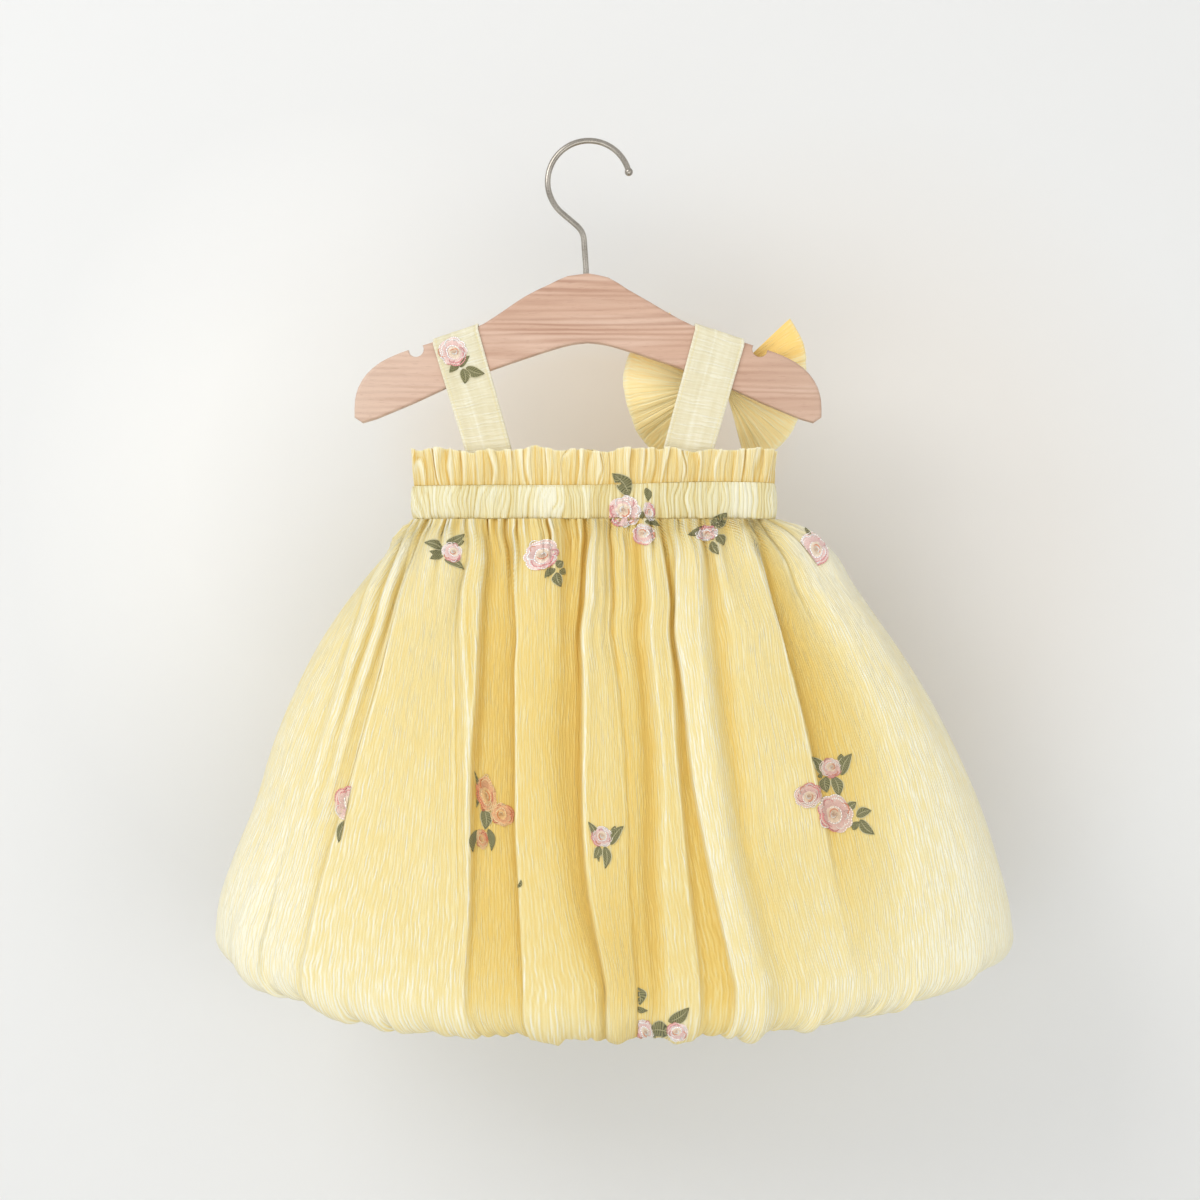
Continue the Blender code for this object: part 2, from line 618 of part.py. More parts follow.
def strap_points(strap):
    """A grid of points along the middle of the strap's cloth: up the back, over the wood, down the front."""
    across = np.linspace(-1, 1, 4)
    grid = []
    for share in STRAP_LEG_SHARES:
        x, depth, z = strap_leg(strap, across, share)
        grid.append(np.stack([x, -depth, z], axis=1))
    for angle in np.radians(STRAP_OVER_ANGLES):
        x, depth, z = strap_leg(strap, across, 0)
        y = STRAP_CLEAR * math.copysign(abs(math.sin(angle)) ** 0.5, angle)
        rise = STRAP_RISE * abs(math.cos(angle)) ** 0.5
        grid.append(np.stack([x, np.full(len(x), y), z + rise], axis=1))
    for share in STRAP_LEG_SHARES[::-1]:
        x, depth, z = strap_leg(strap, across, share)
        grid.append(np.stack([x, depth, z], axis=1))
    return np.array(grid)


def add_straps():
    for name, strap in STRAPS.items():
        grid = strap_points(strap)[::-1]
        normal = normals_of(grid, around=False)
        half_wall = normal * STRAP_WALL / 2
        cloth_wall(name, grid + half_wall, grid - half_wall, "strap_cloth")


# --- The bow ------------------------------------------------------------------------------------------
def loop_points(side, edge, fan, round_it):
    """One bow loop without its pleats. fan runs from the lower edge to the upper one, and round_it from
    the knot out along the near layer (0 to 90 degrees) and back along the far one (to 180)."""
    known = np.linspace(0, 1, len(edge))
    angle = np.radians(curve_at(fan, known, column(edge, 0)))
    reach = curve_at(fan, known, column(edge, 1)) * MM
    root_x = BOW_KNOT[0] / 2 + 2 * SEAM_GAP + BOW_WALL / 2
    root_z = (2 * fan - 1) * BOW_ROOT_HALF_HEIGHT
    grid = []
    for angle_round in round_it:
        out = math.sin(angle_round)
        x = root_x + (reach * np.cos(angle) - root_x) * out
        z = BOW_Z + root_z + (reach * np.sin(angle) - root_z) * out
        puff = BOW_HALF_PUFF * (BOW_ROOT_PUFF + (1 - BOW_ROOT_PUFF) * out)
        below = np.maximum(BOW_Z - z, 0)
        y = BOW_Y - puff * math.cos(angle_round) + BOW_LEAN * below**2 / (below + BOW_LEAN_BEND)
        grid.append(np.stack([BOW_X + side * x, y, z], axis=1))
    return np.array(grid)


def add_bow():
    fan = np.linspace(0, 1, 3 * BOW_PLEATS + 1)
    round_it = np.radians(BOW_ROUNDS)
    pleat = BOW_PLEAT_DEPTH * np.cos(fan * 2 * math.pi * BOW_PLEATS)
    for name, (side, edge) in BOW_LOOPS.items():
        grid = loop_points(side, edge, fan, round_it)
        normal = normals_of(grid, around=False)
        folds = np.sin(round_it)[:, None, None] * pleat[None, :, None]
        middle = grid + normal * folds
        half_wall = normal * BOW_WALL / 2
        cloth_wall(name, middle + half_wall, middle - half_wall, "bow_cloth")

    bm = bmesh.new()
    bmesh.ops.create_cube(bm, size=1)
    bmesh.ops.scale(bm, verts=bm.verts, vec=BOW_KNOT)
    bmesh.ops.bevel(
        bm, geom=list(bm.edges), offset=4 * MM, segments=3, profile=0.5, affect="EDGES"
    )
    knot = add_object("bow_knot", mesh_from(bm, "bow_knot"), "bow_cloth")
    knot.location = (BOW_X, STRAP_CLEAR + STRAP_WALL / 2 + SEAM_GAP + BOW_KNOT[1] / 2, BOW_Z)


def main():
    for old in list(bpy.data.objects):
        bpy.data.objects.remove(old)
    add_hanger_body()
    add_hook()
    add_casing()
    add_frill()
    add_skirt()
    add_hem_casing()
    add_straps()
    add_bow()


main()
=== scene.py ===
"""The looks of a toddler's bubble-hem sundress on a small wooden hanger.

Metres, +Z up, in the frame of the CAD. The back of the dress faces -Y. A turn is a share of the way round the
dress: 0 at the left side seam, 0.25 at the middle of the back, 0.5 at the right side seam, 0.75 at the middle
of the front. Down is a share of the way from the waist to the hem. A tone is painted light and shade: it runs
from 0, painted shade in a hollow, to 1, a painted highlight on a crest, and a crepe's colour follows it.
Tables are in millimetres.
"""

import math

import bpy
import numpy as np
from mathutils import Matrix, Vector
from mathutils.bvhtree import BVHTree


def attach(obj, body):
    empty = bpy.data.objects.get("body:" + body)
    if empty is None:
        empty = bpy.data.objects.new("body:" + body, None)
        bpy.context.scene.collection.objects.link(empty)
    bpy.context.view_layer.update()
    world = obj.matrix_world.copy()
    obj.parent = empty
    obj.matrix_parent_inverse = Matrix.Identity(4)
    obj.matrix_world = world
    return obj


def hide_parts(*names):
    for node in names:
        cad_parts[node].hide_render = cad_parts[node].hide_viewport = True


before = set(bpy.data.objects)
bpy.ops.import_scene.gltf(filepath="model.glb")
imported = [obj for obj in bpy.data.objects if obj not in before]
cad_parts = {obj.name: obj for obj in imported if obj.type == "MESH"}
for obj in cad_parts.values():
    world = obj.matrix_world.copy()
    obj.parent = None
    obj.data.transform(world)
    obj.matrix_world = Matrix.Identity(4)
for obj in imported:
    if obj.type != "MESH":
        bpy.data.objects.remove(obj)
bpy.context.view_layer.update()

MM = 0.001

# --- The dress's sizes, as in the CAD ---
SEAM_GAP = 0.3 * MM
SQUARENESS = 2.3
DRESS_X = 3.9 * MM
BODICE_HALF_WIDTH = 115 * MM
BODICE_HALF_DEPTH = 20 * MM
FRILL_TOP_Z = -197.5 * MM
CASING_TOP_Z = -220.4 * MM
WAIST_Z = -241.8 * MM
FRILL_FLARE = 1.6 * MM
FRILL_EDGE_RISE = 1.6 * MM
HEM_Z = -568.5 * MM
HEM_SIDE_LIFT = 40 * MM
ROLL_START = 0.93
ROLL_INSET_X = 44 * MM
ROLL_INSET_Y = 26 * MM
TURN_UP = 47.5 * MM
TURN_UP_INSET = 7 * MM
LEVEL_ROWS = 0.06
RIDGES_END = 1.9
CENTRE_SEAM_TURN = 0.264
HEM_CASING_HEIGHT = 10 * MM
SKIRT_PROFILE = (
    # down, left reach, right reach, half depth
    (0.000, 111.1, 118.9, 20.0),
    (0.022, 115.0, 132.0, 24.0),
    (0.072, 129.0, 155.0, 32.0),
    (0.146, 147.0, 170.0, 41.0),
    (0.250, 168.0, 192.0, 50.0),
    (0.370, 186.5, 214.5, 56.5),
    (0.500, 202.0, 234.5, 61.0),
    (0.640, 214.5, 252.0, 64.0),
    (0.765, 229.0, 263.5, 65.5),
    (0.850, 237.0, 270.0, 66.0),
    (0.930, 239.8, 273.2, 66.0),
)
SWELL_X = 40 * MM
SWELL_REACH = 40 * MM
SWELL_HEIGHT = 4 * MM
HANGER_TOP = (
    # x, z
    (0.0, -83.9), (13.0, -86.6), (25.5, -94.2), (40.2, -102.6), (50.1, -108.5), (66.8, -117.2),
    (84.0, -123.0), (100.4, -128.4), (116.0, -133.4), (124.0, -136.4), (133.8, -141.4),
)
WIRE_RADIUS = 1.9 * MM
HOOK_RADIUS = 26.5 * MM
HOOK_CENTRE_X = 0.5 * MM
HOOK_OPENING = math.radians(14)
HOOK_LEAVES = math.radians(230)
HOOK_BEND = (-3.0 * MM, -56.4 * MM)
HOOK_TIP_RADIUS = 2.7 * MM
STEM_FOOT_X = -1.3 * MM
STEM_DEPTH = 14 * MM
STRAP_FOOT_Z = -236 * MM
STRAP_SHOULDER = 2 * MM
STRAP_RISE = 3.8 * MM
STRAP_SPREADS = (0.45, 0.85)
STRAP_LEANS_TO = 0.65
STRAP_STANDS_IN = 3.0 * MM
STRAP_CLEAR = 7.0 * MM
STRAPS = {
    # name: foot x, crossing x, half width
    "strap_left": (-64.0, -85.0, 14.5),
    "strap_right": (64.5, 84.5, 15.8),
}
BOW_X = 82 * MM
BOW_Y = 19.5 * MM
BOW_Z = -155 * MM
BOW_KNOT = (15 * MM, 14 * MM, 20 * MM)
BOW_HALF_PUFF = 8 * MM
BOW_ROOT_PUFF = 0.3
BOW_ROOT_HALF_HEIGHT = 6 * MM
BOW_ROOT_X = 8.7 * MM
BOW_LEAN = 0.62
BOW_LEAN_BEND = 14 * MM
BOW_LOOPS = {
    # name: side, (angle, reach) from its lowest point to its highest
    "bow_loop_left": (-1, ((-62, 56.0), (-34, 58.0), (-16, 57.7), (6, 59.6), (34, 59.0), (59, 57.0))),
    "bow_loop_right": (1, ((-66, 50.0), (-44, 57.4), (-22, 58.6), (6, 60.0), (24, 63.0), (42, 65.0))),
}

# --- The cloth's detail ---
BACK_COLUMNS = 1080
FRONT_COLUMNS = 660
SKIRT_OUT_ROWS = 84
SKIRT_ROLL_ROWS = 22
SKIRT_UP_ROWS = 8
ROWS_CLOSE_UP = 1.22  # more than 1: the rows lie closer together at the waist
CLOTH_ROUND = 1.30  # the skirt's flat width, which its texture is measured by
CRINKLES_ROUND = 430
CRINKLE_LENGTH = 34 * MM
CRINKLE_DEPTH = 0.07 * MM
SEAM_SINKS = 0.25 * MM
SEAM_SINK_TURNS = 3 / 1400  # how far from a seam the cloth sinks towards it

# The skirt's folds. Each row is one ridge of cloth: where its left and right edges lie at these shares of the
# way down, how far it stands out there, how softly each edge falls away, and how far each edge hangs over
# the hollow beside it.
FOLD_HEIGHTS = (0, 0.15, 0.45, 0.70, 0.90)
THREAD_LEVEL = 0.45  # the share of the way down at which threads are told apart
PALENESS_HEIGHTS = (0, 0.45, 0.9)
BACK_FOLDS = (
    # left edge x, right edge x, rise, soft left, soft right, over left, over right
    ((-117.2, -137.4, -168.4, -192.1, -214.2), (-111.5, -130.5, -160.9, -184.6, -206.0),
     (3, 5, 2.5, 0.5, 0), 3, 2, 0, 1),
    ((-110.2, -127.3, -157.1, -179.6, -199.8), (-107.6, -121.7, -150.9, -174.6, -192.3),
     (2.5, 5, 3, 0.5, 0), 2, 2, 0, 1),
    ((-106.4, -119.1, -146.5, -168.4, -186.0), (-103.2, -116.0, -142.8, -165.9, -182.3),
     (2.5, 4, 2.5, 0, 0), 2, 1.5, 0, 1),
    ((-114.0, -140.0, -176.0, -204.0, -226.0), (-111.0, -133.0, -166.0, -193.0, -207.0),
     (0, 0, 0, 1, 4), 4, 1.5, 0, 2),
    ((-101.9, -114.1, -141.5, -163.4, -179.8), (-77.7, -77.8, -77.8, -78.4, -79.8),
     (5, 8, 7.5, 4.5, 3.5), 3, 5, 2.5, 0),
    ((-77.0, -77.8, -78.0, -78.2, -79.0), (-67.5, -66.5, -71.5, -73.5, -75.5),
     (5, 8.5, 8, 5.5, 3.5), 3, 2.0, 0.5, 1.2),
    ((-49.0, -44.7, -43.2, -42.9, -39.2), (-17.0, -11.0, -14.5, -9.0, 4.0),
     (5, 8, 8.5, 7.5, 6.5), 1.8, 12, 2.5, 0),
    ((1.4, -1.4, -3.8, -0.4, 12.1), (14.1, 14.0, 22.1, 26.5, 30.9),
     (4.5, 7, 6.5, 6, 5), 2, 2, 1.2, 0),
    ((1.4, -1.4, -3.8, -0.4, 12.1), (5.8, 4.3, 2.1, 5.2, 15.9),
     (1.5, 2.5, 2, 1, 0), 2, 3, 0.5, 0),
    ((12.5, 12.8, 20.8, 25.5, 29.9), (15.4, 15.6, 23.3, 27.7, 32.1),
     (1, 1.6, 1.6, 1.4, 1.0), 1.2, 1.5, 0.4, 0),
    ((15.4, 15.3, 22.7, 27.1, 31.5), (29.5, 29.0, 35.0, 37.0, 44.0),
     (3, 4.5, 4.5, 4, 3.5), 2, 6, 0, 0),
    ((34.5, 34.9, 42.1, 42.7, 47.1), (43.5, 50.5, 56.5, 63.9, 71.5),
     (5, 7, 6.5, 5.5, 5), 5, 2.5, 0, 1),
    ((53.5, 55.6, 63.9, 79.2, 92.7), (66.0, 73.4, 85.0, 98.0, 118.0),
     (5, 8, 8, 8, 7), 2.2, 8, 2.0, 0),
    ((61.3, 67.7, 69.5, 80.8, 95.2), (71.5, 78.4, 86.4, 95.1, 110.2),
     (1.5, 2.5, 1.5, 0, 0), 1.5, 5, 0, 0),
    ((75.3, 81.6, 95.8, 106.4, 126.5), (103.3, 113.8, 138.0, 156.0, 170.0),
     (5, 9, 7, 1.5, 0), 6, 2.5, 0, 2),
    ((112.3, 139.0, 182.0, 200.0, 205.0), (135.2, 166.8, 217.5, 248.1, 257.7),
     (3, 5, 4, 2, 1), 13, 12, 0, 0),
)
FRONT_FOLDS = (
    ((-116, -140, -192, -208, -219), (-100, -118, -154, -170, -182), (3, 5, 6, 5, 4), 12, 6, 0, 2),
    ((-92, -104, -132, -148, -160), (-71, -80, -98, -110, -120), (5, 8, 9, 8, 6), 3, 7, 3, 0),
    ((-62, -68, -80, -90, -98), (-42, -44, -50, -54, -58), (6, 8, 9, 9, 8), 4, 2, 0, 3),
    ((-34, -33, -32, -34, -36), (-12, -9, -4, -1, 2), (6, 9, 10, 9, 8), 2, 9, 4, 0),
    ((-34, -33, -32, -34, -36), (-29, -27, -25, -27, -30), (2, 3, 2.5, 1, 0), 2, 3, 0, 0),
    ((2, 6, 14, 17, 20), (24, 30, 38, 41, 44), (5, 7, 7, 7, 7), 4, 2, 0, 2),
    ((34, 40, 50, 56, 62), (52, 64, 82, 92, 100), (6, 9, 10, 9, 8), 2, 8, 4, 0),
    ((64, 76, 98, 110, 120), (88, 102, 132, 148, 160), (6, 9, 9, 7, 6), 6, 2.5, 0, 3),
    ((98, 116, 150, 168, 182), (120, 148, 196, 218, 232), (4, 7, 8, 6, 5), 5, 12, 2, 0),
)
# Lines that the cloth's threads follow from the waist to the hem, most of them folds' edges: their x at
# FOLD_HEIGHTS.
BACK_FLOW = (
    BACK_FOLDS[4][0], BACK_FOLDS[4][1], BACK_FOLDS[6][0], (-20.0, -14.7, -18.0, -10.0, 5.0),
    BACK_FOLDS[7][0], BACK_FOLDS[7][1], (34.5, 34.9, 42.1, 46.0, 55.0), (49.8, 54.4, 63.9, 79.2, 92.7),
    BACK_FOLDS[14][0], (101.0, 113.8, 136.4, 152.6, 167.7), (109.0, 135.9, 172.6, 188.8, 198.4),
)
FRONT_FLOW = (
    (-98, -112, -146, -163, -175), FRONT_FOLDS[1][1], FRONT_FOLDS[2][1], FRONT_FOLDS[3][1],
    (22, 28, 36, 39, 42), FRONT_FOLDS[6][1], FRONT_FOLDS[7][1], (105, 125, 170, 192, 206),
)
# How pale the cloth between the folds is painted, as painted light and shade: from 0, a painted golden shade
# where light is caught between its layers, to 1, painted pale where most light falls: a thread's x at
# THREAD_LEVEL, and how pale it is at each of PALENESS_HEIGHTS.
BACK_PALENESS = (
    (-230, 0.65, 0.78, 1.05), (-185, 0.6, 0.75, 1.02), (-150, 0.46, 0.6, 0.92), (-140, 0.3, 0.28, 0.66),
    (-84, 0.34, 0.08, 0.48), (-77, 0.35, 0.32, 0.5), (-72, 0.1, 0.06, 0.12), (-46, 0.0, -0.05, 0.05),
    (-40, 0.0, -0.14, 0.12), (-18, -0.12, -0.42, -0.1), (-12, -0.1, -0.24, -0.24), (-2, 0.05, -0.02, -0.22),
    (10, 0.13, 0.06, -0.46), (24, -0.04, -0.18, -0.44), (38, -0.14, -0.24, -0.2), (44, 0.15, 0.12, 0.12),
    (60, 0.05, -0.05, -0.05), (66, 0.4, 0.58, 0.46), (84, 0.32, 0.42, 0.46), (90, 0.2, 0.12, 0.4),
    (112, 0.3, 0.2, 0.6), (134, 0.28, 0.18, 0.74), (144, 0.05, -0.12, 0.62), (168, 0.4, 0.3, 0.76),
    (190, 0.86, 0.64, 0.88), (215, 0.92, 0.82, 0.98), (250, 0.98, 0.95, 1.02),
)
FRONT_PALENESS = (
    (-230, 0.95, 1.0, 1.05), (-170, 0.7, 0.75, 0.9), (-140, 0.2, 0.25, 0.5), (-60, 0.15, 0.15, 0.3),
    (60, 0.15, 0.15, 0.3), (150, 0.2, 0.25, 0.5), (190, 0.7, 0.75, 0.9), (250, 0.95, 1.0, 1.05),
)
# Gathers under the casing: how many on each side, how deep, the share of the way down at which they are gone,
# and how wide the painted highlight line on each pleat's sharp edge is.
WAIST_GATHERS = ((64, 1.0, 0.05, 0.16), (37, 1.6, 0.11, 0.12), (19, 1.9, 0.27, 0.08))
HEM_GATHERS = ((12, 1.5, 0.0), (27, 0.8, 1.0), (43, 0.5, 2.0))  # how many on each side, how deep, phase
HEM_GATHERS_START = 0.86
HEM_GATHERS_GROW = 0.6
# Tucks that pull the hem's roll up a little: the x on the back, their half width and their height.
HEM_TUCKS = (
    (-188, 5, 3.0), (-157, 4, 2.5), (-131, 5, 3.0), (-75, 5, 3.5), (-57, 3, 1.5), (-17, 5, 3.0), (1, 3, 1.5),
    (40, 4, 2.0), (78, 4, 1.5), (100, 6, 4.0), (123, 4, 2.0), (155, 5, 3.0), (186, 4, 2.5), (213, 5, 3.0),
)


# --- Small maths ---
def eased(share):
    share = np.clip(share, 0, 1)
    return share * share * (3 - 2 * share)


def bell(offset, width):
    """1 where the offset is 0, and nearly 0 from twice the width away."""
    return np.exp(-((offset / width) ** 2))


def column(table, index):
    return np.array([row[index] for row in table], float)


def curve_at(at, known_at, values):
    """A smooth curve through the known values."""
    known_at, values = np.asarray(known_at, float), np.asarray(values, float)
    slopes = np.gradient(values, known_at)
    at = np.clip(at, known_at[0], known_at[-1])
    i = np.clip(np.searchsorted(known_at, at, side="right") - 1, 0, len(known_at) - 2)
    span = known_at[i + 1] - known_at[i]
    t = (at - known_at[i]) / span
    start = (1 + 2 * t) * (1 - t) ** 2 * values[i] + t * (1 - t) ** 2 * span * slopes[i]
    end = t * t * (3 - 2 * t) * values[i + 1] + t * t * (t - 1) * span * slopes[i + 1]
    return start + end


def squared(wave, squareness):
    """A sine or cosine bent so that a circle's becomes a rounded box's."""
    return np.sign(wave) * np.abs(wave) ** (2 / squareness)


def lengths_along(points):
    """How far along a line each of its points lies."""
    return np.concatenate([[0], np.cumsum(np.linalg.norm(np.diff(points, axis=0), axis=1))])


def oval(half_width, half_depth, turns):
    """(x, y) of points at these shares of an oval's girth, and the girth."""
    angle = np.linspace(0, 2 * math.pi, 1441)
    x = -half_width * squared(np.cos(angle), SQUARENESS)
    y = -half_depth * squared(np.sin(angle), SQUARENESS)
    along = np.concatenate([[0], np.cumsum(np.hypot(np.diff(x), np.diff(y)))])
    at = np.asarray(turns) % 1.0 * along[-1]
    return np.interp(at, along, x), np.interp(at, along, y), along[-1]


def lattice(u, v, cells, seed):
    """Smooth noise from -1 to 1 over u and v, which are counted in cells. It repeats every so many in u."""
    rows = 97
    table = np.random.default_rng(seed).uniform(-1, 1, (rows, cells))
    u, v = np.broadcast_arrays(np.asarray(u, float), np.asarray(v, float))
    i, j = np.floor(v).astype(int), np.floor(u).astype(int)
    fv, fu = eased(v - i), eased(u - j)
    i0, i1, j0, j1 = i % rows, (i + 1) % rows, j % cells, (j + 1) % cells
    low = table[i0, j0] * (1 - fu) + table[i0, j1] * fu
    high = table[i1, j0] * (1 - fu) + table[i1, j1] * fu
    return low * (1 - fv) + high * fv


def unevenly(turns, cells, seed, v=0.5):
    """Smooth noise from -1 to 1 round the dress, in so many cells."""
    return lattice(turns * cells, v, cells, seed)


def pleat_phase(turns, count, slant, seed, bunching):
    """Where each point is among unevenly spaced pleats, counted in pleats, and a number from -1 to 1 for the
    pleat it is on."""
    uneven = bunching * unevenly(turns, 40, seed) + 1.2 * unevenly(turns, 130, seed + 1)
    phase = turns * 2 * count + (uneven + slant) / (2 * math.pi)
    own = np.random.default_rng(seed + 2).uniform(-1, 1, 1024)[np.floor(phase).astype(int) % 1024]
    return phase, own


def knife(turns, count, seed, slant=0.0, bunching=2.4, keen=0.06):
    """Uneven pleats laid over to one side or the other: how high each point is, from 0 to 1, and a painted
    highlight on the sharp edge that its pleat is folded at, up to 1, with a painted shadow just past it."""
    phase, own = pleat_phase(turns, count, slant, seed, bunching)
    share = phase - np.floor(phase)
    share = np.where(own > 0, share, 1 - share)
    edge = bell(share - 0.84, keen) - 0.6 * bell(share - 0.98, keen)
    return eased(share / 0.8) * (1 - eased((share - 0.86) / 0.14)), edge


def tucked(turns, count, slant, seed, bunching=2.4):
    """Rounded pleats with sharp valleys between them: how high each point is and how deep in a valley, both
    from 0 to 1, and a number from -1 to 1 for each pleat."""
    phase, own = pleat_phase(turns, count, slant, seed, bunching)
    arch = np.abs(np.sin(math.pi * phase))
    return arch**0.7, bell(arch, 0.20), own


def normals_of(grid, around):
    down = np.gradient(grid, axis=0)
    if around:
        across = np.roll(grid, -1, axis=1) - np.roll(grid, 1, axis=1)
    else:
        across = np.gradient(grid, axis=1)
    normal = np.cross(down, across)
    return normal / np.maximum(np.linalg.norm(normal, axis=2, keepdims=True), 1e-12)


# --- Materials ---
def srgb(r, g, b):
    """A colour given in 0 to 255, as the shader's linear numbers."""
    values = []
    for value in (r, g, b):
        share = value / 255
        values.append(share / 12.92 if share <= 0.04045 else ((share + 0.055) / 1.055) ** 2.4)
    return (*values, 1)


class Nodes:
    """A new material and short ways to add nodes to it."""

    def __init__(self, name):
        self.material = bpy.data.materials.new(name)
        self.material.use_nodes = True
        self.tree = self.material.node_tree
        self.tree.nodes.clear()
        self.output = self.tree.nodes.new("ShaderNodeOutputMaterial")

    def add(self, kind, settings=None, **inputs):
        """A node. Its inputs are named with _ in place of each space."""
        node = self.tree.nodes.new("ShaderNode" + kind)
        for key, value in (settings or {}).items():
            setattr(node, key, value)
        for key, value in inputs.items():
            self.put(node.inputs[key.replace("_", " ")], value)
        return node

    def put(self, socket, value):
        if isinstance(value, bpy.types.NodeSocket):
            self.tree.links.new(value, socket)
        else:
            socket.default_value = value

    def of(self, kind, settings, *values):
        """A node whose inputs are given in their order."""
        node = self.add(kind, settings)
        for socket, value in zip(node.inputs, values):
            self.put(socket, value)
        return node

    def place(self):
        return self.add("TexCoord").outputs["Object"]

    def attribute(self, name, output):
        return self.add("Attribute", {"attribute_name": name}).outputs[output]

    def mix(self, factor, a, b, blend="MIX"):
        node = self.add("Mix", {"data_type": "RGBA", "blend_type": blend})
        for index, value in ((0, factor), (6, a), (7, b)):
            self.put(node.inputs[index], value)
        return node.outputs[2]

    def maths(self, operation, *values):
        return self.of("Math", {"operation": operation}, *values).outputs[0]

    def plus(self, a, b):
        return self.maths("ADD", a, b)

    def times(self, a, b):
        return self.maths("MULTIPLY", a, b)

    def linear(self, value, gain, offset):
        return self.maths("MULTIPLY_ADD", value, gain, offset)

    def clamped(self, value, low, high):
        return self.maths("MINIMUM", self.maths("MAXIMUM", value, low), high)

    def split(self, vector):
        return self.of("SeparateXYZ", None, vector).outputs

    def scaled(self, vector, scale):
        return self.add("Mapping", Vector=vector, Scale=scale).outputs[0]

    def noise(self, vector, scale, detail, distortion=0.0, roughness=0.5):
        return self.add(
            "TexNoise", Vector=self.scaled(vector, scale), Scale=1.0, Detail=detail,
            Distortion=distortion, Roughness=roughness,
        ).outputs[0]

    def bands(self, direction, vector, scale, **inputs):
        settings = {"wave_type": "BANDS", "bands_direction": direction}
        inputs.update(Vector=self.scaled(vector, scale), Scale=1.0)
        return self.add("TexWave", settings, **inputs).outputs[1]

    def ramp(self, factor, stops):
        """A colour that runs through stops of a position and a colour in 0 to 255."""
        node = self.add("ValToRGB", Fac=factor)
        elements = node.color_ramp.elements
        elements[0].position, elements[1].position = stops[0][0], stops[-1][0]
        elements[0].color, elements[1].color = srgb(*stops[0][1:]), srgb(*stops[-1][1:])
        for position, *shade in stops[1:-1]:
            elements.new(position).color = srgb(*shade)
        return node.outputs[0]

    def bump(self, height, distance, strength, **normal):
        return self.add("Bump", Height=height, Distance=distance, Strength=strength, **normal).outputs[0]

    def principled(self, **inputs):
        return self.add("BsdfPrincipled", **inputs).outputs[0]

    def either(self, share, first, second):
        return self.of("MixShader", None, share, first, second).outputs[0]

    def done(self, shader):
        self.put(self.output.inputs["Surface"], shader)
        return self.material


# The crepe's two sets of crinkles: how far apart in mm, the cells per metre of the noise that bends them,
# across and along the cloth, how far they stray, and how keen their crests are.
CRINKLE_BANDS = ((2.5, 95, 66, 4.6, 1.7), (1.6, 150, 110, 4.0, 1.4))
DRIFT_CELLS = 0.33  # the wider drift's cells, as a share of those
BREAK_CELLS = 300  # across: where crinkles break off
GRAIN_CELLS = (2300, 900, 1)
PATCH_CELLS = (14, 9, 1)
WEAVE_CELLS = (310, 310, 1)


def crinkle_lines(n, uv, across, fine):
    """Lengthwise crinkles that stray, meet and break off, from about -0.5 between them to 1 on a crest."""
    crests = []
    for apart, wide, long, strays, keen in CRINKLE_BANDS:
        wide, long = wide * fine, long * fine
        stray = n.noise(uv, (wide, long, 1), 1.5)
        drift = n.noise(uv, (DRIFT_CELLS * wide, DRIFT_CELLS * long, 1), 0.0)
        broken = n.noise(uv, (BREAK_CELLS * fine, 0.9 * long, 1), 0.0)
        phase = n.times(across, 2 * math.pi / (apart * MM) * fine)
        phase = n.plus(n.plus(phase, n.times(stray, 2 * strays)), n.times(drift, 3 * strays))
        crest = n.maths("POWER", n.linear(n.maths("SINE", phase), 0.5, 0.5), keen)
        crests.append(n.times(crest, n.clamped(n.linear(broken, 2.6, -0.6), 0.3, 1.1)))
    return n.linear(crests[1], 0.8, n.plus(crests[0], -0.52))


def crepe(name, steps, through, crinkle=1.0, see=0.18, fine=1.0, contrast=1.0, across=False):
    """Crinkled cotton crepe. Its colour runs along the steps, from a hollow's painted shade at 0 to a crest's
    painted highlight at 1, with the mesh's own tone of painted light and with painted highlights on the
    crinkles, and some of the light goes through it."""
    n = Nodes(name)
    uv = n.add("UVMap").outputs[0]
    tone = n.attribute("tone", "Fac")
    at = n.split(uv)
    if across:
        uv = n.add("CombineXYZ", X=at[1], Y=at[0]).outputs[0]
    lines = crinkle_lines(n, uv, at[1] if across else at[0], fine)
    grain = n.noise(uv, GRAIN_CELLS, 1.0)
    patches = n.noise(uv, PATCH_CELLS, 2.0)
    weave = n.times(*(n.bands(direction, uv, WEAVE_CELLS, Distortion=0.6) for direction in "XY"))
    # The crinkles painted paler on their crests and darker between them, with patches and grain that differ
    # at random.
    share = n.linear(lines, n.linear(tone, 0.07 * contrast, 0.35 * contrast), tone)
    share = n.plus(share, n.linear(patches, 0.10, -0.05))
    share = n.plus(share, n.linear(grain, 0.16, -0.08))
    low, span = steps[0][0], steps[-1][0] - steps[0][0]
    colour = n.ramp(n.linear(share, 1 / span, -low / span), [((at - low) / span, *rgb) for at, *rgb in steps])
    normal = n.bump(n.linear(grain, 0.25, lines), 0.24 * MM, 0.9 * crinkle)
    normal = n.bump(weave, 0.05 * MM, 0.3, Normal=normal)
    surface = n.principled(
        Base_Color=colour, Roughness=0.86, Normal=normal, Specular_IOR_Level=0.22, Sheen_Weight=0.18,
        Sheen_Roughness=0.45,
    )
    lit_through = n.add("BsdfTranslucent", Color=n.mix(0.6, colour, srgb(*through)), Normal=normal).outputs[0]
    return n.done(n.either(see, surface, lit_through))


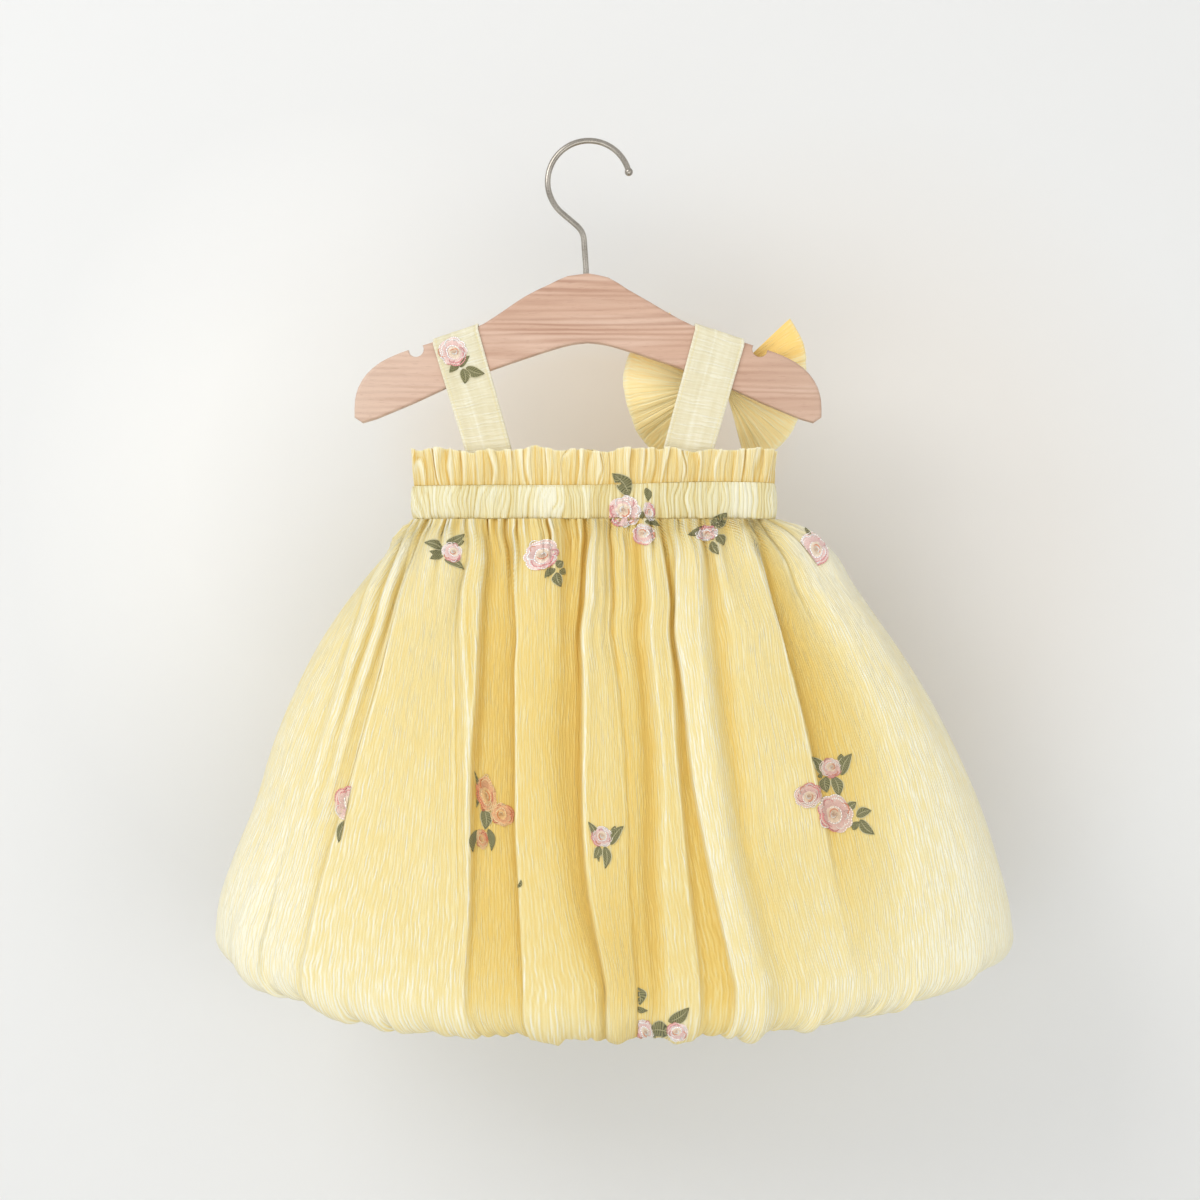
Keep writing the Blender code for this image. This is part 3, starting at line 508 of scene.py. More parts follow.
def thread(name):
    """Rayon embroidery thread: its colour comes from the mesh, and its strands lie along the mesh's v, with
    painted shade between them.
    """
    n = Nodes(name)
    uv = n.add("UVMap").outputs[0]
    strands = n.bands("X", uv, (400, 60, 1), Distortion=1.0, Detail=1.0)
    uneven = n.noise(uv, (900, 300, 1), 2.0)
    # Painted shade between the strands, times an unevenness that differs at random.
    shade = n.times(n.linear(strands, 0.48, 0.72), n.linear(uneven, 0.4, 0.80))
    grey = n.add("CombineColor", Red=shade, Green=shade, Blue=shade).outputs[0]
    return n.done(n.principled(
        Base_Color=n.mix(1.0, n.attribute("thread", "Color"), grey, "MULTIPLY"), Roughness=0.42,
        Normal=n.bump(strands, 0.22 * MM, 0.9), Sheen_Weight=0.1, Specular_IOR_Level=0.35,
    ))


def wood():
    """Rosy tan hardwood with a level grain, with painted light on the board's left end and painted shade on
    its right end.
    """
    n = Nodes("hanger_wood")
    place = n.place()
    figure = n.noise(place, (5.5, 24, 62), 5.0, 0.55, 0.55)
    grain = n.noise(place, (26, 300, 620), 4.0, 0.3, 0.6)
    dark = n.maths("LESS_THAN", n.noise(place, (140, 1800, 2600), 2.0), 0.36)
    streaks = n.bands("Z", place, (5, 20, 75), Distortion=9.0, Detail=4.0)
    patchy = n.clamped(n.linear(n.noise(place, (7, 10, 46), 1.0), 2.4, -0.8), 0.0, 0.8)
    body = n.ramp(figure, (
        (0.26, 176, 136, 112), (0.44, 200, 164, 142), (0.60, 212, 181, 161), (0.78, 184, 146, 124),
    ))
    lined = n.mix(n.times(n.maths("POWER", streaks, 1.5), patchy), body, srgb(158, 112, 88))
    fine = n.mix(n.linear(grain, 0.7, -0.16), lined, srgb(214, 178, 154))
    # The board's ends: painted light on the left one, where the lamps reach it, and painted shade on the
    # right one.
    for side, shade in ((-12.0, srgb(216, 194, 176)), (12.0, srgb(196, 168, 148))):
        near_end = n.clamped(n.linear(n.split(place)[0], side, -0.9), 0.0, 1.0)
        fine = n.mix(n.times(near_end, 0.5), fine, shade)
    eased_edges = n.add("Bevel", {"samples": 8}, Radius=1.3 * MM).outputs[0]
    return n.done(n.principled(
        Base_Color=n.mix(n.times(dark, 0.22), fine, srgb(146, 100, 80)), Roughness=n.linear(grain, 0.2, 0.42),
        Normal=n.bump(n.plus(grain, n.times(dark, -0.6)), 0.05 * MM, 0.5, Normal=eased_edges),
        Coat_Weight=0.12, Coat_Roughness=0.3,
    ))


def steel():
    """Drawn steel wire with a slightly worn face."""
    n = Nodes("hook_steel")
    place = n.place()
    drawn = n.noise(place, (900, 900, 900), 3.0)
    worn = n.noise(place, (70, 70, 70), 3.0)
    return n.done(n.principled(
        Base_Color=n.ramp(worn, ((0.3, 150, 144, 135), (0.7, 186, 180, 170))), Metallic=1.0,
        Roughness=n.linear(drawn, 0.18, 0.2), Normal=n.bump(drawn, 0.02 * MM, 0.4),
    ))


def seen_from_the_front(name, colour, painted_light_spots=()):
    """Matt paint that only shows from the room's side, so that views from behind aren't shut off, with spots
    of painted glow and painted shadow.
    """
    n = Nodes(name)
    speckle = n.noise(n.place(), (240, 240, 240), 3.0)
    for (x, z), (reach_x, reach_z), most, shade in painted_light_spots:
        from_middle = n.of("VectorMath", {"operation": "SUBTRACT"}, n.place(), (x * MM, WALL_Y, z * MM))
        spot = n.scaled(from_middle.outputs[0], (1000 / reach_x, 0, 1000 / reach_z))
        nearby = n.add("TexGradient", {"gradient_type": "SPHERICAL"}, Vector=spot).outputs[1]
        colour = n.mix(n.times(n.maths("MINIMUM", n.times(nearby, 2.0), 1.0), most), colour, shade)
    paint = n.principled(Base_Color=colour, Roughness=0.9, Normal=n.bump(speckle, 0.1 * MM, 0.2))
    behind = n.add("NewGeometry").outputs["Backfacing"]
    return n.done(n.either(behind, paint, n.add("BsdfTransparent").outputs[0]))


# --- Meshes ---
STITCH_LENGTH = 1.7 * MM


def mesh_object(name, points, faces, material, uv=None, tone=None, thread_colour=None, smooth=True):
    """A new mesh. uv, tone and thread_colour are given for each point."""
    mesh = bpy.data.meshes.new(name)
    points = np.asarray(points, float).reshape(-1, 3)
    faces = np.asarray(faces, np.int32)
    mesh.vertices.add(len(points))
    mesh.vertices.foreach_set("co", points.ravel())
    mesh.loops.add(faces.size)
    mesh.loops.foreach_set("vertex_index", faces.ravel())
    mesh.polygons.add(len(faces))
    mesh.polygons.foreach_set("loop_start", np.arange(len(faces), dtype=np.int32) * faces.shape[1])
    mesh.update(calc_edges=True)
    if uv is not None:
        layer = mesh.uv_layers.new(name="UVMap")
        layer.data.foreach_set("uv", np.asarray(uv, float).reshape(-1, 2)[faces.ravel()].ravel())
    if tone is not None:
        mesh.attributes.new("tone", "FLOAT", "POINT").data.foreach_set("value", np.ravel(tone))
    if thread_colour is not None:
        layer = mesh.attributes.new("thread", "FLOAT_COLOR", "POINT")
        layer.data.foreach_set("color", np.ravel(thread_colour))
    if smooth:
        mesh.shade_smooth()
    mesh.materials.append(material)
    made = bpy.data.objects.new(name, mesh)
    bpy.context.scene.collection.objects.link(made)
    return made


def grid_indices(rows, columns, around=False, first=0):
    """The four corners of each face of a grid whose points are numbered row by row."""
    i, j = np.meshgrid(np.arange(rows - 1), np.arange(columns - (not around)), indexing="ij")
    k = (j + 1) % columns
    above, below = i * columns, (i + 1) * columns
    return np.stack([above + j, below + j, below + k, above + k], axis=-1).reshape(-1, 4) + first


def cloth(name, grid, uv, tone, material, around=False):
    rows, columns = grid.shape[:2]
    return mesh_object(name, grid, grid_indices(rows, columns, around), material, uv, tone)


def sewn_pieces(points, uv, tone, cuts, gap, cloth_round, material):
    """The pieces that a grid round the dress is sewn from, each drawn back a little from its seams. cuts
    holds each piece's name and the columns that it starts and ends at."""
    around = points.shape[1]
    made = {}
    for name, first, last in cuts:
        columns = np.arange(first, last + 1) % around
        part, part_uv = points[:, columns], uv[:, columns]
        for end, next_in in ((0, 1), (-1, -2)):
            way = part[:, next_in] - part[:, end]
            part[:, end] += way * (gap / np.maximum(np.linalg.norm(way, axis=1, keepdims=True), 1e-6))
        if last == around:
            part_uv[:, -1, 0] = cloth_round
        made[name] = cloth(name + "_cloth", part, part_uv, tone[:, columns], material)
    return made


def tube(points, radii, sides):
    """(points, faces) of a round tube along a line."""
    points = np.asarray(points, float)
    radii = np.broadcast_to(np.asarray(radii, float), (len(points),))
    along = np.gradient(points, axis=0)
    along /= np.linalg.norm(along, axis=1, keepdims=True)
    side = np.cross(along, (0.13, 0.31, 0.94))  # any direction that no tube here runs in
    side /= np.linalg.norm(side, axis=1, keepdims=True)
    other = np.cross(along, side)
    angle = (np.arange(sides) / sides * 2 * math.pi)[None, :, None]
    ring = side[:, None] * np.cos(angle) + other[:, None] * np.sin(angle)
    grid = points[:, None] + ring * radii[:, None, None]
    return grid.reshape(-1, 3), grid_indices(len(points), sides, around=True)


def joined(parts):
    """One (points, faces, ...) out of several. What follows the faces is given for each point."""
    firsts = np.cumsum([0] + [len(part[0]) for part in parts])
    points, faces, *more = zip(*parts)
    faces = [part_faces + first for part_faces, first in zip(faces, firsts)]
    return [np.concatenate(part) for part in (points, faces, *more)]


def stitches(name, lines, spacing, radius, tone, seed, material):
    """Short stitches of sewing thread along lines of points."""
    chance = np.random.default_rng(seed)
    parts = []
    for line in lines:
        along = lengths_along(line)
        for start in np.arange(spacing / 2, along[-1] - STITCH_LENGTH, spacing):
            start = start + chance.uniform(-0.1, 0.1) * spacing
            at = start + np.linspace(0, 1, 5) * STITCH_LENGTH * chance.uniform(0.85, 1.1)
            run = np.stack([np.interp(at, along, line[:, k]) for k in range(3)], axis=1)
            parts.append(tube(run, radius * np.array([0.35, 0.9, 1.0, 0.9, 0.35]), 5))
    points, faces = joined(parts)
    count = len(points)
    return mesh_object(name, points, faces, material, np.zeros((count, 2)), np.full(count, tone))


# --- The skirt ---
def skirt_size(down):
    """The middle, the half width and the half depth of the skirt's oval at this share of the way down."""
    known = column(SKIRT_PROFILE, 0)
    left, right, depth = (curve_at(down, known, column(SKIRT_PROFILE, k)) * MM for k in (1, 2, 3))
    return (right - left) / 2, (right + left) / 2, depth


def skirt_row(turns, row):
    """The skirt's surface without its folds along one row, and its girth there: 0 to 1 outside, 1 to 2 on the
    hem's roll and 2 to 3 up the inside to the sewn edge. turns may differ from the columns' own."""
    _, widest, deepest = skirt_size(ROLL_START)
    x, _, _ = oval(widest, deepest, turns)
    outside = 1 - float(eased((row - 1.2) / 0.6))
    power = 3 + np.where(x < 0, 1.2, 0.3) * outside
    drop = WAIST_Z - HEM_Z - HEM_SIDE_LIFT * np.abs(x / widest) ** power
    roll = math.pi * min(max(row - 1, 0), 1)
    up = max(row - 2, 0)
    middle, half_width, half_depth = skirt_size(min(row, 1) * ROLL_START)
    turned = (1 - math.cos(roll)) / 2
    half_width -= ROLL_INSET_X * turned + TURN_UP_INSET * up
    half_depth -= ROLL_INSET_Y * turned + TURN_UP_INSET * up
    x, y, girth = oval(half_width, half_depth, turns)
    fallen = drop * ROLL_START * min(row, 1) + drop * (1 - ROLL_START) * math.sin(roll)
    return np.stack([x + middle, y, WAIST_Z - SEAM_GAP / 2 - fallen + TURN_UP * up], axis=1), girth


def turn_of(x, down):
    """The turn on the back, or the front's counted the other way, at which the skirt has this x."""
    middle, half_width, half_depth = skirt_size(min(down, ROLL_START))
    dense = np.linspace(0, 0.5, 400)
    dense_x, _, _ = oval(half_width, half_depth, dense)
    return np.interp(np.asarray(x, float) * MM - middle, dense_x, dense)


def folded_back(turns):
    """Each turn as one on the back: the front's are counted from the same left seam."""
    return np.where(turns <= 0.5, turns, 1 - turns)


def thread_of(turns, down, level=THREAD_LEVEL):
    """The turn at which the thread that passes here passes the given level."""
    sides = []
    for table in (BACK_FLOW, FRONT_FLOW):
        here, there = (
            np.concatenate([[0], turn_of([curve_at(at, FOLD_HEIGHTS, line) for line in table], at), [0.5]])
            for at in (down, level)
        )
        sides.append(np.interp(folded_back(turns), here, there))
    return np.where(turns <= 0.5, sides[0], 1 - sides[1])


def paleness(threads, down):
    """How pale the cloth is painted between its folds: painted light and shade."""
    sides = []
    for table in (BACK_PALENESS, FRONT_PALENESS):
        known = turn_of(column(table, 0), THREAD_LEVEL)
        levels = [curve_at(down, PALENESS_HEIGHTS, row[1:]) for row in table]
        sides.append(np.interp(folded_back(threads), known, levels))
    return np.where(threads <= 0.5, sides[0], sides[1])


# How wide the painted highlight along a fold's edge is, and the painted shadow beside it.
PAINTED_HIGHLIGHT_WIDTH = 0.8 * MM
PAINTED_SHADOW_WIDTH = 1.2 * MM
SOFTEST_LIT = 5  # a fold's edge that is softer than this has no painted highlight or shadow line
LIT_FROM = 7 * MM  # folds that stand out less than this have fainter painted lines
PALE_FROM = 5 * MM  # and those that stand out less than this have a fainter painted tone


def fold_row(turns, down):
    """Along one row: how far the large folds stand out, how far they lean sideways (both in metres), how much
    of a ridge each point is on, from 0 in a hollow to 1, by which the ridges are painted paler, and the
    painted highlight along the folds' edges with the painted shadow beside it."""
    _, half_width, half_depth = skirt_size(min(down, ROLL_START))
    girth = oval(half_width, half_depth, 0.0)[2]
    soft = MM * (0.55 + 0.45 * float(eased(down / 0.45)))
    height, lean, share, painted_edge_lines = (np.zeros(len(turns)) for _ in range(4))
    for table, front in ((BACK_FOLDS, False), (FRONT_FOLDS, True)):
        way = 1 - turns if front else turns
        place = ((way + 0.25) % 1 - 0.25) * girth
        for left, right, rise, soft_left, soft_right, over_left, over_right in table:
            start, end = (
                float(turn_of(curve_at(down, FOLD_HEIGHTS, edge), down)) * girth for edge in (left, right)
            )
            edges = ((place - start, soft_left, over_left), (end - place, soft_right, over_right))
            a, b = (eased(inside / (2 * softness * soft) + 0.5) for inside, softness, _ in edges)
            body = a * b
            across = np.clip((place - start) / max(end - start, MM), 0, 1)
            stands = float(curve_at(down, FOLD_HEIGHTS, rise)) * MM
            height += stands * body * (1 - 0.2 * (2 * across - 1) ** 2)
            share = np.maximum(share, body * min(1, stands / PALE_FROM))
            opens = float(eased(down / 0.12)) * MM * min(1, stands / (0.6 * max(rise) * MM))
            to_left, to_right = (
                over * opens * body * eased(1 - inside / ((4 * over + 2 * softness) * MM))
                for inside, softness, over in edges
            )
            lean += (to_right - to_left) * (-1 if front else 1)
            for inside, softness, _ in edges:
                if softness > SOFTEST_LIT:
                    continue
                # A painted highlight along the fold's edge, and a painted shadow just outside it.
                lit = inside - softness * soft - 0.3 * MM
                shade = bell(lit + 2 * softness * soft + PAINTED_SHADOW_WIDTH, PAINTED_SHADOW_WIDTH)
                painted_edge_lines += min(1, stands / LIT_FROM) * (bell(lit, PAINTED_HIGHLIGHT_WIDTH) - 0.6 * shade)
    return height, lean, share, painted_edge_lines


def waist_gathers(turns, down):
    """How far the gathers under the casing stand out along one row, and the painted light and shade that they
    add to its tone.
    """
    gather, crest = np.zeros(len(turns)), np.zeros(len(turns))
    for k, (count, depth, ends, keen) in enumerate(WAIST_GATHERS):
        reach = ends * (1 + 0.6 * unevenly(turns, count, 21 + k))
        fade = eased(1 - down / reach)
        pleat, line = knife(turns, count, 31 + 3 * k, keen=keen)
        gather += depth * MM * fade * (2 * pleat - 1)
        # Painted light and shade: paler on the pleats, a painted highlight on their sharp edges, darker
        # between.
        crest += fade * (0.20 * pleat**2 + 0.30 * line - 0.06)
    return gather, crest


def hem_gathers(turns):
    """How far the gathers at the hem and along its inner edge stand out."""
    return sum(
        depth * MM * np.cos(turns * 4 * math.pi * count + phase + 1.8 * unevenly(turns, 24, 41 + k))
        for k, (count, depth, phase) in enumerate(HEM_GATHERS)
    )


# How much the ridges, the hem's roll and the folds' edges are painted paler, and how pale a painted edge
# highlight may make the cloth at most.
RIDGE_TONE = 0.36
HEM_TONE = 0.40
EDGE_TONE = 0.44
EDGE_TONE_LIMIT = 0.80
WAIST_END = 0.09  # how far down the painted shade under the casing dims the paleness and the ridges


def row_tone(thread, row, down, fading, share, painted_edge_lines, crest):
    """The tone along one row: painted shade in the hollows, painted light on the ridges, paler at the hem,
    the gathers' painted light and shade, and what the painted highlights and shadows on the folds' edges add
    to it."""
    near_waist = float(eased(1 - down / WAIST_END))
    # Painted shade under the casing, and the upper half painted a little paler, as more light falls there.
    pale = paleness(thread, down) * (1 - 0.6 * near_waist) + 0.06 * float(eased(1 - down / 0.45))
    ridges = share * (0.4 + 0.6 * fading) * (1 - 0.4 * near_waist)
    tone = pale + RIDGE_TONE * (1 - pale) * ridges
    tone += HEM_TONE * float(eased((row - 0.86) / 0.3)) * (1 - np.clip(tone, 0, 1)) + crest
    fewer_below = 1 - 0.55 * float(eased((down - 0.45) / 0.45))
    line = EDGE_TONE * painted_edge_lines * fading * (1 - 0.4 * near_waist) * fewer_below
    return tone, np.minimum(line, np.maximum(0, EDGE_TONE_LIMIT - tone))


WANDER, WANDER_LENGTH = 1.2 * MM, 60 * MM
CURL, CURL_LENGTH = 2.6 * MM, 26 * MM


def wandered(thread, down, length):
    """How far the cloth along one row wanders sideways, most of all in the upper third."""
    broad = WANDER * unevenly(thread, 60, 11, length / WANDER_LENGTH) * float(eased(down / 0.1))
    curly = float(eased(down / 0.05) * eased(1.3 - down / 0.30))
    return broad + CURL * curly * unevenly(thread, 38, 12, length / CURL_LENGTH)


def crest_of(lines):
    return np.clip(1 - 2 * np.abs(lines), 0, 1)


def crinkles(threads, v, rough):
    """How far the cloth's crinkles stand out, and the painted highlights and shade that they add to its tone.
    """
    wander = 0.9 * unevenly(threads, 90, 51, v / (34 * MM))
    lines = lattice(threads * CRINKLES_ROUND + wander, v / CRINKLE_LENGTH, CRINKLES_ROUND, 52)
    broad = lattice(threads * 190 + wander, v / (45 * MM), 190, 53)
    rise = rough * ((1 - 2 * np.abs(lines)) * CRINKLE_DEPTH + broad * 0.12 * MM) * eased(v / (6 * MM))
    return rise, rough * ((crest_of(lines) - 0.5) * 0.05 + broad * 0.05)


def hem_lift(turns, rows, x):
    """How far the tucks in the hem's roll pull it up. x is each column's at the roll's start."""
    tucks = sum(height * MM * eased(1 - np.abs(x - at * MM) / (half * MM)) for at, half, height in HEM_TUCKS)
    on_back = eased((0.5 - turns) / 0.02)
    near_roll = eased((rows - 0.9) / 0.4) * eased((2.2 - rows) / 0.8)
    return (tucks * on_back)[None, :] * near_roll[:, None]


def skirt_cloth():
    """(points, uv, tone) of the whole skirt, row by row from the waist down and up the inside."""
    turns = np.concatenate([
        np.arange(BACK_COLUMNS) / BACK_COLUMNS / 2, 0.5 + np.arange(FRONT_COLUMNS) / FRONT_COLUMNS / 2
    ])
    rows = np.concatenate([
        np.linspace(0, 1, SKIRT_OUT_ROWS + 1) ** ROWS_CLOSE_UP,
        1 + np.arange(1, SKIRT_ROLL_ROWS + 1) / SKIRT_ROLL_ROWS,
        2 + np.arange(1, SKIRT_UP_ROWS + 1) / SKIRT_UP_ROWS,
    ])
    fall = (WAIST_Z - HEM_Z) * ROLL_START
    lengths = np.where(rows <= 1, rows * fall, fall + (rows - 1) * 50 * MM)
    table = []
    for row, length in zip(rows, lengths):
        down = min(row, 1) * ROLL_START
        fading = float(eased((RIDGES_END - row) / (RIDGES_END - 1)))
        height, lean, share, painted_edge_lines = fold_row(turns, down)
        plain, girth = skirt_row(turns, row)
        thread = thread_of(turns, down)
        moved, _ = skirt_row(turns + (lean * fading + wandered(thread, down, length)) / girth, row)
        gather, crest = waist_gathers(thread_of(thread, THREAD_LEVEL, 0.0), down)
        gather += float(eased((row - HEM_GATHERS_START) / HEM_GATHERS_GROW)) * hem_gathers(turns)
        tone, lit = row_tone(thread, row, down, fading, share, painted_edge_lines, crest)
        table.append((plain, moved, thread, height * fading + gather, tone, lit))
    base, moved, threads, heights, tones, lit = (np.array(part) for part in zip(*table))
    normal = normals_of(base, around=True)
    normal[:, :, 2] *= eased(rows / LEVEL_ROWS)[:, None]
    normal /= np.linalg.norm(normal, axis=2, keepdims=True)

    u, v = np.meshgrid(turns, lengths)
    rise, shade = crinkles(threads, v, 0.35 + 0.65 * np.clip(tones, 0, 1))
    from_seam = np.min([np.abs(u - seam) for seam in (0, CENTRE_SEAM_TURN, 0.5, 1)], axis=0)
    sunk = SEAM_SINKS * eased(1 - from_seam / SEAM_SINK_TURNS)
    points = moved + normal * (heights + rise - sunk)[:, :, None]
    points[:, :, 2] += hem_lift(turns, rows, moved[SKIRT_OUT_ROWS, :, 0])
    # The tone: painted shade and light on and between the folds, painted highlights on their edges and
    # crinkles.
    return points, np.stack([threads * CLOTH_ROUND, v], axis=2), tones + lit + shade


def hem_casing_cloth(material):
    """The narrow gathered edge inside, which holds the bubble's cloth up."""
    columns, rows = 700, 9
    fine_count, fine_depth = 70, 0.5 * MM
    turns = np.arange(columns) / columns
    start = 3 + SEAM_GAP / TURN_UP
    steps = np.linspace(start, start + HEM_CASING_HEIGHT / TURN_UP, rows)
    base = np.array([skirt_row(turns, row)[0] for row in steps])
    share = np.linspace(0, 1, rows)[:, None]
    bunching = 1.76 * lattice(turns * 2 * fine_count / 3, 0.5, 47, 61)
    fine = np.cos(turns * 4 * math.pi * fine_count + bunching)
    puff = 0.8 * MM * np.sin(math.pi * share)
    rise = hem_gathers(turns) + fine_depth * fine + puff
    points = base + normals_of(base, around=True) * rise[:, :, None]
    # Painted light and shade: paler on the fine gathers' crests and darker between them.
    tone = (0.35 + 0.3 * fine)[None, :] * np.ones_like(share)
    uv = np.stack(np.broadcast_arrays(turns[None, :] * CLOTH_ROUND, share * HEM_CASING_HEIGHT), axis=2)
    return cloth("hem_casing_cloth", points, uv, tone, material, around=True)


# --- The bodice ---
BODICE_COLUMNS = 2000
CASING_ROWS = 15
FRILL_ROWS = 16
FRILL_LENGTH = 24 * MM
CASING_TUCKS = (36, 83)  # on each side: the broad ones and the small ones between them
CASING_DEPTHS = (1.1 * MM, 0.6 * MM)
CASING_BELLY = 1.3 * MM
FRILL_WAVES, FRILL_KNIVES, FRILL_TUCKS = 22, 27, (52, 96)  # on each side
FRILL_DEPTHS = (2.5 * MM, 0.8 * MM, 0.4 * MM)  # of its waves, its tucks and the fine ones at its foot
FRILL_CURL = 1.5 * MM
CLOTH_OUT = 0.4 * MM  # how far outside the bodice's own oval the cloth's surface lies
CASING_UV_SHARE = 0.8  # its crinkles are drawn up closer than the skirt's
CASING_PAINTED_PALE_PATCHES = (  # places on the back painted paler, with more painted light: x, reach, how much paler
    (-27, 8, 0.34), (92, 9, 0.24), (102, 6, 0.20), (-95, 9, 0.16),
)


def bodice_ring(turns, swell):
    """Points round the bodice at z = 0, this far outside its own oval, and the directions out of it."""
    x, y, _ = oval(BODICE_HALF_WIDTH + swell, BODICE_HALF_DEPTH + swell, turns)
    along_x, along_y = np.roll(x, -1) - np.roll(x, 1), np.roll(y, -1) - np.roll(y, 1)
    length = np.hypot(along_x, along_y)
    out = np.stack([along_y / length, -along_x / length, np.zeros(len(x))], axis=1)
    return np.stack([x + DRESS_X, y, np.zeros(len(x))], axis=1), out


def seam_rise(turns):
    """How far the seam between the frill and the casing rises on the right of the back."""
    return 2.2 * MM * eased((turns - 0.22) / 0.2) * eased((0.56 - turns) / 0.1)


def casing_cloth():
    """(points, uv, tone) of the casing's outer cloth, from its top seam down."""
    turns = np.arange(BODICE_COLUMNS) / BODICE_COLUMNS
    grid, tones = [], []
    height = CASING_TOP_Z - WAIST_Z - SEAM_GAP
    for share in np.linspace(0, 1, CASING_ROWS):
        ring, out = bodice_ring(turns, 0)
        ring[:, 2] = CASING_TOP_Z - SEAM_GAP / 2 - height * share + seam_rise(turns) * (1 - share)
        lean = 11.0 * (share - 0.5) * unevenly(turns, 9, 71) + 2.2 * unevenly(turns, 64, 77, share * 2.2)
        broad, valley, own = tucked(turns, CASING_TUCKS[0], lean, 72)
        small, groove, tint = tucked(turns, CASING_TUCKS[1], lean * 2.1, 75, 3.0)
        firm = 0.6 + 0.4 * unevenly(turns, 26, 79, share * 1.5)
        belly = CLOTH_OUT + CASING_BELLY * math.sin(math.pi * share) ** 0.6
        ring[:, 2] += 0.7 * MM * valley * firm * eased((share - 0.7) / 0.3)
        rise = broad * CASING_DEPTHS[0] * firm + small * CASING_DEPTHS[1]
        grid.append(ring + out * (belly + rise)[:, None])
        # Painted light on the tucks and painted shade in their valleys and grooves, with some tone that
        # differs at random.
        tone = 0.50 + 0.18 * own + 0.16 * tint + 0.20 * small - 0.50 * valley * firm - 0.36 * groove
        for x, reach, paler in CASING_PAINTED_PALE_PATCHES:
            tone += paler * bell(ring[:, 0] / MM - x, reach) * (turns < 0.5)
        # Painted shade along the top and bottom seams.
        painted_seam_shade = 0.064 * (bell(share - 0.02, 0.06) + bell(share - 0.99, 0.05))
        tones.append(tone + 0.18 * unevenly(turns, 16, 78) - painted_seam_shade)
    v = np.linspace(0, height, CASING_ROWS)
    uv = np.stack(np.meshgrid(turns * CLOTH_ROUND * CASING_UV_SHARE, v), axis=2)
    return np.array(grid), uv, np.array(tones)


def frill_cloth():
    """(points, uv, tone) of the frill, from its free edge down to the casing."""
    turns = np.arange(BODICE_COLUMNS) / BODICE_COLUMNS
    phase = 0.35 * np.sin(10 * math.pi * turns) + 0.20 * np.sin(26 * math.pi * turns + 1)
    phase += 1.3 * unevenly(turns, 31, 83) + 0.9 * unevenly(turns, 71, 87)
    edge = FRILL_EDGE_RISE * 0.5 * (np.sin(14 * math.pi * turns) + np.sin(34 * math.pi * turns + 2))
    edge += 1.0 * MM * unevenly(turns, 74, 81)
    foot = CASING_TOP_Z + SEAM_GAP / 2 + seam_rise(turns)
    uneven = 0.75 + 0.25 * unevenly(turns, 37, 88)
    grid, tones = [], []
    shares = np.linspace(1, 0, FRILL_ROWS)
    for share in shares:
        ring, out = bodice_ring(turns, FRILL_FLARE * share)
        lean = 3.6 * (share - 0.3) * unevenly(turns, 27, 82)
        lean += 1.5 * math.sin(3.4 * share) * unevenly(turns, 61, 97)
        angle = turns * 4 * math.pi * FRILL_WAVES + phase + lean
        laid, lit = knife(turns, FRILL_KNIVES, 93, 1.5 * lean, 3.4)
        big = 0.35 * np.cos(angle) + 0.65 * (2 * laid - 1)
        small, valley, own = tucked(turns, FRILL_TUCKS[0], lean * 1.6, 84, 2.6)
        fine, groove, _ = tucked(turns, FRILL_TUCKS[1], lean * 2, 90, 2.6)
        open_out = 0.30 + 0.70 * share**0.8
        depth = CLOTH_OUT + FRILL_DEPTHS[0] * open_out * big * uneven
        depth += FRILL_DEPTHS[1] * (1 - 0.5 * share) * (small - 0.5)
        depth += FRILL_DEPTHS[2] * (1 - share) ** 0.7 * (fine - 0.5)
        ring[:, 2] = foot + (FRILL_TOP_Z - foot + edge) * share + 0.9 * MM * (laid - 0.5) * share
        along = np.stack([-out[:, 1], out[:, 0], np.zeros(len(turns))], axis=1)
        curl = FRILL_CURL * share * np.sin(2 * angle) * (0.4 + 0.6 * unevenly(turns, 13, 86))
        grid.append(ring + out * depth[:, None] + along * curl[:, None])
        # Painted light on the waves' crests and the pleats' sharp edges, and painted shade in the valleys and
        # grooves.
        crest = np.clip(0.5 + 0.5 * big * uneven, 0, 1)
        tone = 0.16 + 0.58 * crest**1.3 * open_out + 0.10 * own + 0.16 * (small - 0.5 - valley) + 0.34 * lit
        tone += (1 - share) * (0.25 * (fine - 0.4) - 0.16 * groove)
        # A painted highlight along the free edge and painted shade at the foot, by the seam.
        tones.append(tone + 0.08 * share + 0.30 * eased((share - 0.93) / 0.07) - 0.12 * bell(share, 0.08))
    uv = np.stack(np.meshgrid(turns * CLOTH_ROUND, (1 - shares) * FRILL_LENGTH), axis=2)
    return np.array(grid), uv, np.array(tones)


# --- The straps ---
STRAP_ACROSS = 31
STRAP_LEG_ROWS = 66
STRAP_OVER_ROWS = 19
STRAP_CLOTH = 0.55 * MM  # half the doubled strip's thickness
STITCHED_AT = 0.86  # where its lines of stitches lie, as shares of its half width
STITCHES_SINK = 0.22 * MM


def left_swell(x):
    """How much higher the board's top is on its left shoulder than on its right."""
    share = np.clip((-x - SWELL_X + SWELL_REACH) / (2 * SWELL_REACH), 0, 1)
    return SWELL_HEIGHT * np.sin(math.pi * share) ** 2


def hanger_top(x):
    return curve_at(np.abs(x) / MM, column(HANGER_TOP, 0), column(HANGER_TOP, 1)) * MM + left_swell(x)


def casing_depth(x):
    share = np.clip(np.abs((x - DRESS_X) / BODICE_HALF_WIDTH), 0, 1)
    return BODICE_HALF_DEPTH * (1 - share**SQUARENESS) ** (1 / SQUARENESS)


